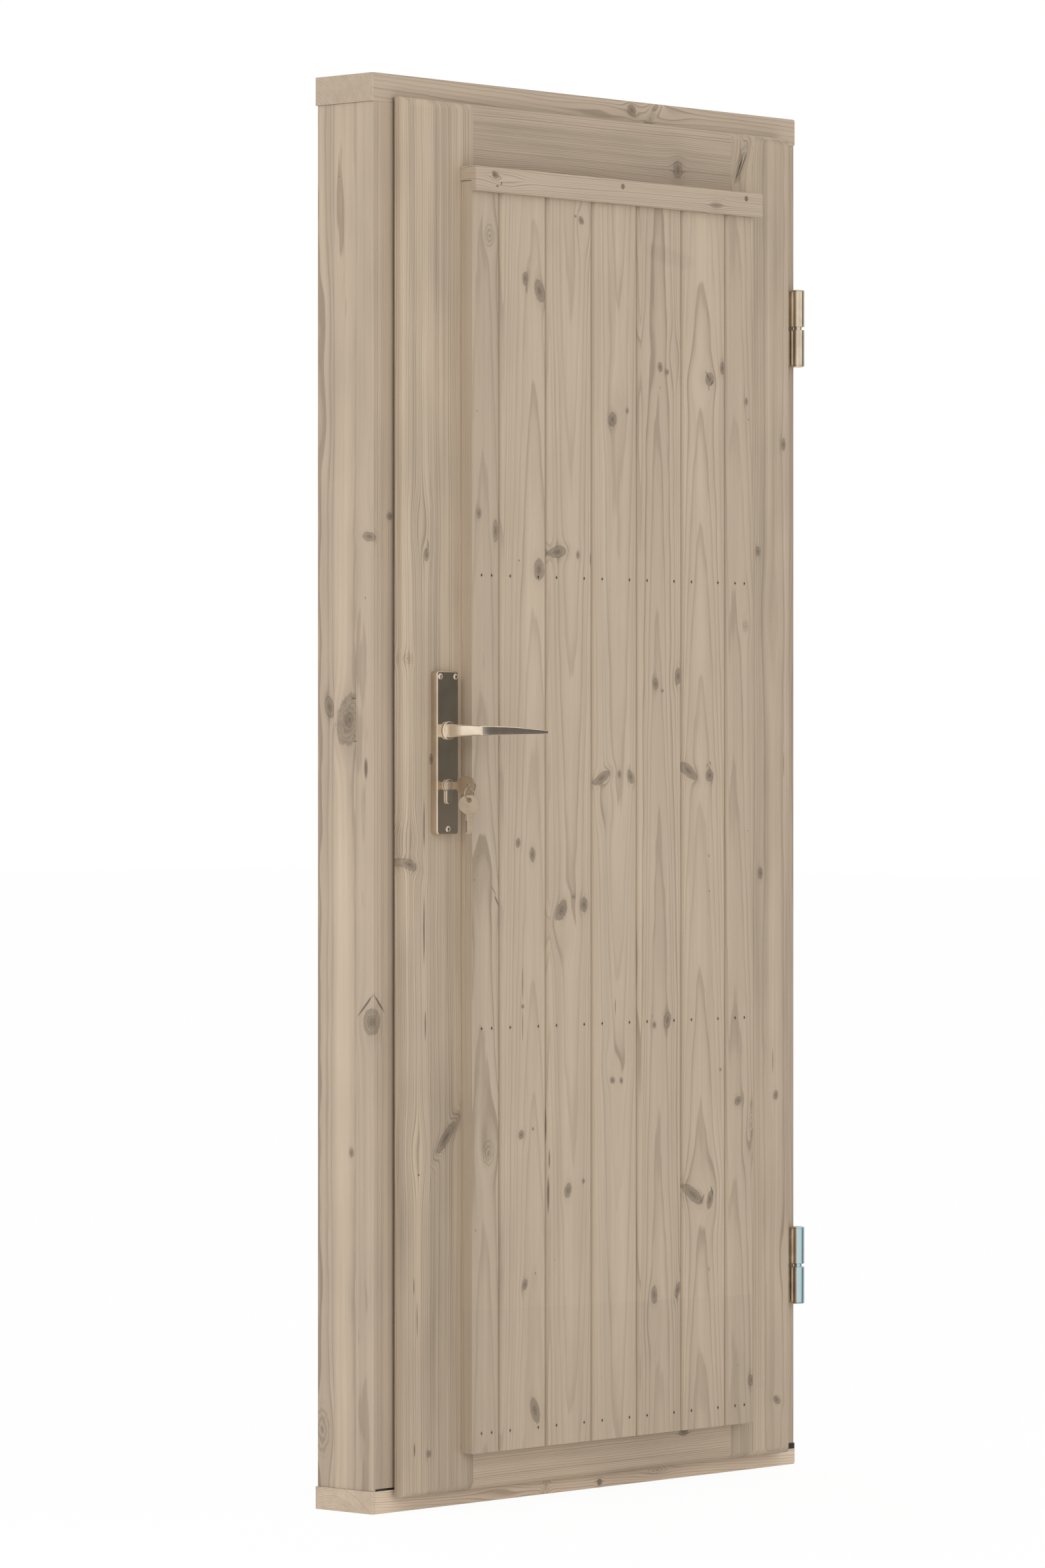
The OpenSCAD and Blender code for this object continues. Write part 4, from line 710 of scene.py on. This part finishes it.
# Black packers fill the gaps under the jambs; their black is partly painted shade of those gaps
for node in ("packer_lock_side", "packer_hinge_side"):
    settle("moulded_" + node, eased(node, 0.5, 1, 3), "frame", "packer_plastic", packer_plastic, node)

# Seal with a foot, a hollow throat and a rounded lip, cut at the hinges
SEAL = [(0, 0), (12, 0), (12, -1.6), (9.2, -2.0), (10.8, -3.2), (10.9, -4.4), (9.6, -5.4), (7.2, -5.7),
        (4.4, -5.3), (2.6, -4.2), (2.4, -2.8), (3.4, -2.0), (0, -1.6)]


def moulding(bm, profile, spot, low, high):
    """Straight strip: spot gives a place from the profile's two numbers and a length."""
    skin(bm, [[bm.verts.new(spot(a, b, t)) for a, b in profile] for t in (low, high)])


seal = bmesh.new()
SEAL_LEFT, SEAL_RIGHT, SEAL_TOP = 38, 812, 1844
moulding(seal, SEAL, lambda a, b, t: place(SEAL_LEFT + a, b, t), 32.5, SEAL_TOP)
stops = (29.5, 225.3, 332.7, 1533.3, 1640.7, SEAL_TOP)
for low, high in zip(stops[::2], stops[1::2]):
    moulding(seal, SEAL, lambda a, b, t: place(SEAL_RIGHT - a, b, t), low, high)
moulding(seal, [(a * 0.475, b) for a, b in SEAL], lambda a, b, t: place(t, b, 1849.7 - a),
         SEAL_LEFT, SEAL_RIGHT)
settle("lipped_weather_seal", seal, "frame", "seal_rubber", seal_rubber, "weather_seal", angle=50)

# -------- fasteners on their sites

class Growth:
    """A Geometry Nodes tree with named inputs."""

    def __init__(self, name, inputs):
        self.tree = bpy.data.node_groups.new(name, "GeometryNodeTree")
        faces, self.ids = self.tree.interface, {}
        for key, kind in inputs.items():
            socket = faces.new_socket(key, in_out="INPUT", socket_type="NodeSocket" + kind)
            self.ids[key] = socket.identifier
        faces.new_socket("Result", in_out="OUTPUT", socket_type="NodeSocketGeometry")
        self.given = self.add("NodeGroupInput")

    def add(self, *details):
        return add_node(self.tree, *details)

    def close(self, geometry):
        """Ends the tree: what it repeats is made real and gets its finish."""
        real = self.add("GeometryNodeRealizeInstances", None, {"Geometry": geometry})
        painted = self.add("GeometryNodeSetMaterial", None,
                           {"Geometry": real[0], "Material": self.given["Finish"]})
        self.add("NodeGroupOutput", None, {0: painted[0]})

    def mesh_on(self, sites, values):
        """Plain mesh that the tree makes on a mesh of sites, with these values of its inputs."""
        host = linked("sites", sites)
        step = host.modifiers.new("growth", "NODES")
        step.node_group = self.tree
        for key, value in values.items():
            step[self.ids[key]] = value
        made = evaluated(host)
        host.modifiers.remove(step)
        bpy.data.objects.remove(host)
        return made


# One fastener on every point, facing as its attribute says and turned at random
fasteners = Growth("fasteners on sites", {
    "Sites": "Geometry", "Fastener": "Object", "Finish": "Material", "Spin seed": "Int"})
add, given = fasteners.add, fasteners.given
model = add("GeometryNodeObjectInfo", {"transform_space": "ORIGINAL"}, {"Object": given["Fastener"]})
facing, width = (
    add("GeometryNodeInputNamedAttribute", {"data_type": kind}, {"Name": name})["Attribute"]
    for name, kind in (("facing", "FLOAT_VECTOR"), ("width", "FLOAT")))
spin = add("FunctionNodeRandomValue", {"data_type": "FLOAT"}, {2: 0.0, 3: 2 * pi, "Seed": given["Spin seed"]})
aim = add("FunctionNodeAlignRotationToVector", {"axis": "Z"}, {"Vector": facing})
twist = add("FunctionNodeAxisAngleToRotation", None, {"Axis": UP, "Angle": spin[1]})
pose = add("FunctionNodeRotateRotation", {"rotation_space": "LOCAL"},
           {"Rotation": aim[0], "Rotate By": twist[0]})
fasteners.close(add("GeometryNodeInstanceOnPoints", None, {
    "Points": given["Sites"], "Instance": model["Geometry"], "Rotation": pose[0], "Scale": width})[0])


def fastened(name, model, sites, body, material, seed, *stands_for):
    """Sets a fastener out on its sites, each (place, facing, width in millimetres)."""
    points = bpy.data.meshes.new(name)
    points.from_pydata([tuple(s[0]) for s in sites], [], [])
    for key, kind, field, values in (("facing", "FLOAT_VECTOR", "vector", [c for s in sites for c in s[1]]),
                                     ("width", "FLOAT", "value", [s[2] for s in sites])):
        points.attributes.new(key, kind, "POINT").data.foreach_set(field, values)
    made = fasteners.mesh_on(points, {"Fastener": model, "Finish": material, "Spin seed": seed})
    settle(name, made, body, "screw_steel", material, *stands_for, angle=40)


def cross_screw(crown, length, thread):
    """Countersunk screw, 1 mm wide over its head, with a tapered cross recess."""
    head, shank = 0.5, thread / 2
    profile = [(-length, 0), (-length + shank * 1.4, shank * 0.8), (-(head - shank), shank), (-0.03, head),
               (0.0, head * 0.985), (crown * 0.45, head * 0.8), (crown * 0.8, head * 0.5), (crown, 0)]
    body = turned(bmesh.new(), profile, Vector(), UP, 24)
    arm, half = 0.27, 0.045
    cross = [(arm, -half), (arm, half), (half * 1.5, half * 1.5)]
    for _ in range(3):
        cross += [(-y, x) for x, y in cross[-3:]]
    recess = pressed(bmesh.new(), cross, [(-0.15, 0.03), (crown + 0.1, 0)],
                     lambda a, b, h: Vector((a, b, h)) / 1000)
    return cut(body, recess)


flat_screw = linked("flat screw", cross_screw(0.03, 1.9, 0.5))
oval_screw = linked("oval screw", cross_screw(0.13, 1.5, 0.44))
nail_head = linked("nail head", as_mesh(turned(
    bmesh.new(), [(-0.5, 0), (-0.5, 0.26), (-0.26, 0.3), (-0.14, 0.48), (-0.07, 0.5), (-0.03, 0.44),
                  (-0.05, 0.25), (-0.06, 0)], Vector(), UP, 14)))

fastened("driven_nails", nail_head, [
    (place(x, BOARD_FACE, z), OUT, 3.0) for left, right in zip(BOARD_EDGES, BOARD_EDGES[1:])
    for z in NAIL_ROWS for x in (left + NAIL_INSET, right - NAIL_INSET)], "leaf", iron, 5, "board_nails")
fastened("set_drip_cap_screws", flat_screw, [
    (place(x, CAP_FACE, 1756), OUT, 7.6) for x in (175.5, 430.25, 685)], "leaf", dull_zinc, 8,
    "drip_cap_screws")
PLATE_SCREWS = ((AXIS_X - 14.5, 1093), (AXIS_X + 14.5, 1093), (AXIS_X, 893))
fastened("set_plate_screws", oval_screw, [
    (place(x, face, z), way, 8.4) for face, way in ((PLATE_OUT - 0.1, OUT), (PLATE_IN + 0.1, IN))
    for x, z in PLATE_SCREWS], "leaf", screw_metal, 12, "plate_screws")
fastened("set_frame_screws", flat_screw, [
    (place(x, y, z), way, 12.0) for x in (26.5, 823.5) for y in (43.68, 83.2)
    for z, way in ((1879.6, UP), (0.4, DOWN))], "frame", screw_metal, 3, "frame_screws")
PLATE_MIDDLE, SCREW_PITCH = 26.85, 16
for half, x, y, way, middle, seed in (("leaf", 806, LIP_BACK + 2.5, IN, PLATE_MIDDLE, 17),
                                      ("frame", 810, -2.5, OUT, -PLATE_MIDDLE, 21)):
    fastened(f"set_hinge_{half}_screws", flat_screw, [
        (place(x, y, z + middle + i * SCREW_PITCH), way, 7.0) for z in HINGE_ZS for i in (-1, 0, 1)],
        half, screw_metal, seed, f"hinge_{half}_screws")

for node, name, body, way, screws in (
        ("lock_face_plate", "set_lock_face_screws", "leaf", LOCK_WAY, "lock_face_screws"),
        ("strike_plate", "set_strike_screws", "frame", HINGE_WAY, "strike_screws")):
    low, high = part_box(node)
    face_x = high.x if way == HINGE_WAY else low.x
    fastened(name, flat_screw, [(Vector((face_x, place(0, 7.5, 0).y, z)), way, 7.6)
                                for z in (low.z + 0.012, high.z - 0.012)], body, screw_metal, 25, screws)
    settle("dressed_" + node, eased(node, 0.35, 3), body, "lock_steel", lock_metal, node)

# -------- hinges

KNUCKLE_R, PIN_HOLE_R, KNUCKLE_L, GAP = 9.4, 5.75, 49.5, 4.2


def knuckle(bm, low, plate_x, plate_back, plate_front):
    """Rolled knuckle from low upwards, with its plate."""
    profile = [(height, KNUCKLE_R - inset) for height, inset in rounded_steps(0, KNUCKLE_L, 0.7, count=3)]
    profile += [(KNUCKLE_L, PIN_HOLE_R + 0.3), (KNUCKLE_L - 0.3, PIN_HOLE_R), (0.3, PIN_HOLE_R),
                (0, PIN_HOLE_R + 0.3)]
    turned(bm, profile, place(HINGE_X, HINGE_Y, low), UP, 72, ring=True)
    end_x = HINGE_X - 4.5
    outline = round_box(end_x - plate_x, low, low + KNUCKLE_L, 2.5)
    centre = (end_x + plate_x) / 2
    pressed(bm, outline, rounded_steps(plate_front, plate_back, 0.3, count=2),
            lambda a, b, h: place(centre + a, h, b))


leaf_halves, frame_halves, leaf_caps, frame_caps = (bmesh.new() for _ in range(4))
CROWN = [(0, 0), (0, 9.0), (0.25, 9.4), (1.1, 9.4), (1.5, 9.1), (1.9, 8.2), (2.3, 6.8), (2.62, 5.0),
         (2.85, 3.0), (2.97, 1.2), (3.0, 0)]
for z in HINGE_ZS:
    knuckle(leaf_halves, z + GAP / 2, 797, -3.5, -6)
    knuckle(frame_halves, z - GAP / 2 - KNUCKLE_L, 801, 0, -2.5)
    turned(leaf_caps, CROWN, place(HINGE_X, HINGE_Y, z + GAP / 2 + KNUCKLE_L), UP, 72)
    turned(frame_caps, CROWN, place(HINGE_X, HINGE_Y, z - GAP / 2 - KNUCKLE_L), DOWN, 72)
for work, node, solids, body, angle in (
        ("rolled_", "hinge_leaf_halves", leaf_halves, "leaf", 32),
        ("rolled_", "hinge_frame_halves", frame_halves, "frame", 32),
        ("domed_", "hinge_leaf_caps", leaf_caps, "leaf", 28),
        ("domed_", "hinge_frame_caps", frame_caps, "frame", 28)):
    settle(work + node, solids, body, "hinge_steel", hinge_metal, node, angle=angle)

# -------- handles

def handle_plate(face, way):
    """Pressed plate with a rolled rim, the cylinder's cutout and three countersinks."""
    thick = 11
    back = face - way * thick

    def spot(a, b, h):
        return place(AXIS_X + a, back + way * h, b)

    plate = pressed(bmesh.new(), round_box(41, 886, 1100, 4, 8),
                    rounded_steps(0, thick, 1.7, both=False, count=6), spot)
    cutout = pressed(bmesh.new(), euro_outline(0.3), [(-1, 0), (thick + 1, 0)], spot)
    sinks = bmesh.new()
    for x, z in PLATE_SCREWS:
        turned(sinks, [(-2.4, 0), (-2.4, 2.2), (0.2, 4.75), (1.0, 4.75), (1.0, 0)], place(x, face, z),
               (0, way, 0), 40)
    return cut(plate, cutout, sinks)


def lever(face, way):
    """Lever with a turned collar, a tapering neck, a tight bend and a grip that thins to its tip."""
    bm = bmesh.new()
    axis_spot = place(AXIS_X, face, LEVER_Z)
    turned(bm, [(-9, 0), (-9, 10), (0.2, 10), (0.35, 11.6), (0.6, 12.0), (2.3, 12.2), (2.9, 11.9),
                (3.3, 11.2), (3.3, 0)], axis_spot, (0, way, 0), 64)
    # Outer and inner edge in plan (sideways, outwards), height and drop of the centre
    ribs = [((-7.0, 2.6), (7.0, 2.6), 17.0, 0), ((-7.4, 3.4), (7.4, 3.4), 17.4, 0),
            ((-6.6, 12), (8.1, 12), 16.7, 0), ((-5.2, 28), (9.3, 28), 15.4, 0),
            ((-3.6, 44), (10.5, 44), 14.1, 0), ((-2.5, 54), (11.0, 50.0), 13.3, 0)]
    for i in range(9):
        turn = pi / 2 * i / 8
        out_turn = turn * 0.88
        outer = (0.9 - 3.1 * cos(out_turn), 58.8 + 3.1 * sin(out_turn))
        inner = (15.5 - 4.4 * cos(turn), 49.6 + 4.4 * sin(turn))
        ribs.append((outer, inner, 13.0, 0))
    ribs += [((6, 62.75), (16.3, 54.03), 13.0, 0), ((12, 63.45), (17.2, 54.06), 13.0, 0)]
    for reach, front, back, height, drop in (
            (18, 63.85, 54.1, 12.9, 0.0), (30, 64.0, 54.2, 12.5, 0.0), (44, 63.8, 54.35, 11.9, 0.05),
            (58, 63.5, 54.5, 11.2, 0.15), (76, 63.1, 54.9, 9.9, 0.5), (96, 62.6, 55.4, 8.0, 1.0),
            (114, 62.15, 55.85, 6.2, 1.4), (126.5, 61.8, 56.2, 4.9, 1.6), (128.6, 61.4, 56.6, 4.3, 1.6),
            (129, 61.0, 57.0, 3.7, 1.6)):
        ribs.append(((reach, front), (reach, back), height, drop))
    rows = []
    for outer, inner, height, drop in ribs:
        outer, inner = Vector(outer), Vector(inner)
        half = (inner - outer).length / 2
        middle, side = (inner + outer) / 2, (inner - outer).normalized()
        radius = min(2.2, half * 0.45, height * 0.22)
        rows.append([])
        for a, b in round_box(2 * half, -height / 2, height / 2, radius, 4):
            flat = middle + side * a
            rows[-1].append(bm.verts.new(place(AXIS_X + flat.x, face + way * flat.y, LEVER_Z + b - drop)))
    return skin(bm, rows)


for side, face, way in (("outside", PLATE_OUT, -1), ("inside", PLATE_IN, 1)):
    settle(f"polished_plate_{side}", handle_plate(face, way), "leaf", "handle_metal", plate_metal,
           f"plate_{side}", angle=24)
    settle(f"polished_lever_{side}", lever(face, way), "handle", "handle_metal", handle_metal,
           f"lever_{side}", angle=42)

# -------- lock cylinder

CYLINDER_OUT, CYLINDER_IN = PLATE_OUT - 3, PLATE_IN + 3
housing = pressed(bmesh.new(), euro_outline(), rounded_steps(CYLINDER_OUT, CYLINDER_IN, 0.5, count=3),
                  lambda a, b, h: place(AXIS_X + a, h, b))
bore = turned(bmesh.new(), [(-1, 0), (-1, 7.1), (0.5, 6.56), (73.5, 6.56), (75, 7.1), (75, 0)],
              place(AXIS_X, CYLINDER_OUT, LOCK_Z), IN, 48)
settle("turned_cylinder_housing", cut(housing, bore), "leaf", "lock_steel", lock_metal, "cylinder_housing")
PLUG = [(0, 0), (0, 4.4), (-0.35, 4.7), (-0.35, 5.0), (0, 5.3), (0.05, 6.0), (-0.35, 6.45), (-20, 6.45),
        (-20, 0)]
for side, end_y, way, body in (("outside", CYLINDER_OUT, OUT, "key"), ("inside", CYLINDER_IN, IN, "leaf")):
    settle(f"turned_plug_{side}", turned(bmesh.new(), PLUG, place(AXIS_X, end_y, LOCK_Z), way, 48), body,
           "lock_steel", lock_metal, f"cylinder_plug_{side}", angle=24)

# -------- keys and their ring

def key_outline(circles, neck_half, neck_end, blade, cuts):
    """Key that points to -a: bow round its circles, neck with small fillets, blade with cuts."""
    points = [(round(x + r * cos(t), 5), round(y + r * sin(t), 5))
              for x, y, r in circles for t in (pi * i / 30 for i in range(60))]
    bow = [points[i] for i in convex_hull_2d(points)]
    nearest = min(x for x, y, r in circles)
    bow = [p for p in bow if p[0] > nearest or abs(p[1]) > neck_half + 0.9]
    start = next(i for i, p in enumerate(bow) if p[1] < 0 and bow[i - 1][1] > 0 and p[0] < nearest + 2)
    bow = bow[start:] + bow[:start]
    lower, upper = bow[0], bow[-1]
    step, (half, tip) = 0.5, blade
    chain = [(upper[0] - 1.0, neck_half + 0.15), (upper[0] - 2.2, neck_half), (neck_end + 0.6, neck_half)]
    chain += [(neck_end, half), (neck_end - step, half), (tip + 2.6, half), (tip + 0.5, half * 0.35),
              (tip, -half * 0.2), (tip + 1.6, -half)]
    for at, depth in cuts:
        chain += [(at - 1.5, -half), (at - 0.4, -half + depth), (at + 0.4, -half + depth), (at + 1.5, -half)]
    chain += [(neck_end - step, -half), (neck_end, -half), (neck_end + 0.6, -neck_half),
              (lower[0] - 2.2, -neck_half), (lower[0] - 1.0, -neck_half - 0.15)]
    return bow + chain


def key_mesh(outline, spot, hole, half, groove):
    """Key with softened rims, its hole and a milled groove on both faces."""
    body = pressed(bmesh.new(), outline, rounded_steps(-half, half, 0.28, count=2), spot)
    centre = spot(hole[0], hole[1], -half - 1)
    through = spot(hole[0], hole[1], half + 1) - centre
    length = through.length * 1000
    drill = turned(bmesh.new(), [(0, 0), (0, 4.2), (0.6, 3.7), (1.3, 3.25), (length - 1.3, 3.25),
                                 (length - 0.6, 3.7), (length, 4.2), (length, 0)], centre, through, 36)
    low, high, middle, width = groove
    mills = bmesh.new()
    for s in (-1, 1):
        pressed(mills, [(low, middle - width), (high, middle - width), (high, middle + width),
                        (low, middle + width)], [(s * (half + 1), 0), (s * (half - 0.55), 0.25)], spot)
    return cut(body, drill, mills)


SPARE_TURN, RING_Y, RING_Z = radians(-45), -74, 940.1
lock_key = key_outline([(25.5, 0, 12.5), (35, 0, 11)], 5, 0.3, (4.3, -24),
                       [(-5 - 4.6 * i, 1.5) for i in range(4)])
settle("cut_key_in_lock",
       key_mesh(lock_key, lambda a, b, h: place(AXIS_X + h, CYLINDER_OUT - a, LOCK_Z + b), (35, 0), 1.1,
                (-23, 11, 1.2, 0.9)), "key", "key_metal", key_finish, "key_in_lock", angle=40)
SPARE_TOP = 937.5
hung_key = key_outline([(12, -2, 12), (12, 2, 12)], 6, -1.0, (4.3, -27.5),
                       [(-6 - 4.4 * i, 1.7) for i in range(5)])


def hanging(a, b, h):
    """Place on the spare key: a runs up from the foot of its bow, b across it, h through it."""
    return place(AXIS_X + b * cos(SPARE_TURN) - h * sin(SPARE_TURN),
                 RING_Y + b * sin(SPARE_TURN) + h * cos(SPARE_TURN), SPARE_TOP - 24 + a)


settle("cut_spare_key", key_mesh(hung_key, hanging, (17.5, 0), 1.1, (-26, -2, 1.1, 0.8)),
       "spare", "key_metal", key_finish, "spare_key", angle=40)

# Flat wire wound twice round a circle
split_ring = Growth("split ring", {
    "Radius": "Float", "Lead": "Float", "Wire width": "Float", "Wire thickness": "Float",
    "Finish": "Material"})
add, given = split_ring.add, split_ring.given
wound = add("GeometryNodeCurveSpiral", None, {
    "Resolution": 56, "Rotations": 1.94, "Start Radius": given["Radius"], "End Radius": given["Radius"],
    "Height": given["Lead"]})
wire = add("GeometryNodeCurvePrimitiveQuadrilateral", None,
           {"Width": given["Wire width"], "Height": given["Wire thickness"]})
soft = add("GeometryNodeFilletCurve", {"mode": "POLY"}, {"Count": 2, "Radius": 0.00018, "Curve": wire[0]})
split_ring.close(add("GeometryNodeCurveToMesh", None,
                     {"Curve": wound[0], "Profile Curve": soft[0], "Fill Caps": True})[0])
ring = split_ring.mesh_on(bpy.data.meshes.new("ring work"), {
    "Radius": 0.008, "Lead": 0.0008, "Wire width": 0.0015, "Wire thickness": 0.00075, "Finish": ring_metal})
heights = [v.co.z for v in ring.vertices]
for move in (Matrix.Translation((0, 0, -(min(heights) + max(heights)) / 2)),
             Matrix.Rotation(radians(140), 4, "Z"), Matrix.Rotation(radians(90), 4, "X"),
             Matrix.Translation(place(AXIS_X, RING_Y, RING_Z))):
    ring.transform(move)
settle("wound_key_ring", ring, "ring", "key_metal", ring_metal, "key_ring", angle=50)

for model in (flat_screw, oval_screw, nail_head):
    bpy.data.objects.remove(model)

# -------- studio

WHITE = (1, 1, 1, 1)
FRONT_RIGHT, DARK_LOBE = (0.735, -0.678, 0), (0.87, 0.985)
floor_mesh = bpy.data.meshes.new("floor")
reach = 40
floor_mesh.from_pydata([(-reach, -reach, 0), (reach, -reach, 0), (reach, reach, 0), (-reach, reach, 0)], [],
                       [(0, 1, 2, 3)])
linked("floor", floor_mesh)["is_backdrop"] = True
# The floor keeps the shadow, is white to the camera and pale brown to gloss, darker at the front right
paper = Finish("pale floor")
mirrored = paper.ray("Glossy")
seen = paper.ray("Camera") + mirrored + paper.ray("Transmission")
outwards = paper.vector("NORMALIZE", paper.vector("SUBTRACT", paper.place(), (MIDDLE_X, MIDDLE_Y, 0)))
ahead = paper.toward(outwards, FRONT_RIGHT).rise(*DARK_LOBE)
pale = paper.mix(mirrored, WHITE, paper.mix(ahead, (0.88, 0.78, 0.66, 1), (0.155, 0.128, 0.098, 1)))
matt = paper.node("BsdfDiffuse", None, {"Color": WHITE})
white = paper.node("Emission", None, {"Color": pale, "Strength": 1.0})
paper.close("Material", paper.node("MixShader", None, {0: seen.least(1.0) * 0.94, 1: matt, 2: white}))
floor_mesh.materials.append(paper.material)

scene.world = bpy.data.worlds.new("studio")
scene.world.use_nodes = True
sky = Finish("studio", scene.world.node_tree)
way = sky.node("TexCoord", output=0)
dark = sky.toward(way, FRONT_RIGHT).rise(*DARK_LOBE) * abs(sky.split(way)[2]).fall(0.35, 0.8)
glint = sky.toward(way, (0.281, -0.96, 0)).rise(0.982, 0.994)
left_side = sky.toward(way, (-0.9, 0.43, 0)).rise(-0.2, 0.8)
mirror = 0.80 + left_side * 0.20 - dark * 0.655 + glint * 0.6
plain = sky.mix(sky.ray("Camera"), (0.88, 0.88, 0.88, 1), WHITE)
shown = sky.mix(sky.ray("Glossy"), plain, sky.scaled((0.96, 0.87, 0.75), mirror))
sky.close("World", sky.node("Background", None, {"Color": shown, "Strength": 1.0}))

for name, spot, target, power in (("key softbox", (-5.5, -2.2, 3.6), (0, 0, 0.9), 70),
                                  ("fill softbox", (-1.5, -6.0, 2.4), (0, 0, 1.0), 25)):
    lamp = bpy.data.lights.new(name, "AREA")
    lamp.shape, lamp.size, lamp.size_y, lamp.energy = "RECTANGLE", 3.0, 3.0, power
    lamp.color = (1.0, 0.985, 0.965)
    box = linked(name, lamp)
    box.location = spot
    box.rotation_euler = (Vector(target) - Vector(spot)).to_track_quat("-Z", "Y").to_euler()
    box.visible_glossy = box.visible_camera = False

lens = bpy.data.cameras.new("camera")
lens.lens, lens.sensor_width, lens.shift_y = 149.27, 36, -0.0086
camera = linked("camera", lens)
camera.location = (-6.5201, -5.9383, 0.9698)
camera.rotation_euler = (radians(90), 0, radians(-47.32))
scene.camera = camera
scene.view_settings.view_transform = "Standard"


def corners(box):
    return [[float(c) for c in corner] for corner in box]


{"cad": corners(cad_box), "visual": corners(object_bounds())}
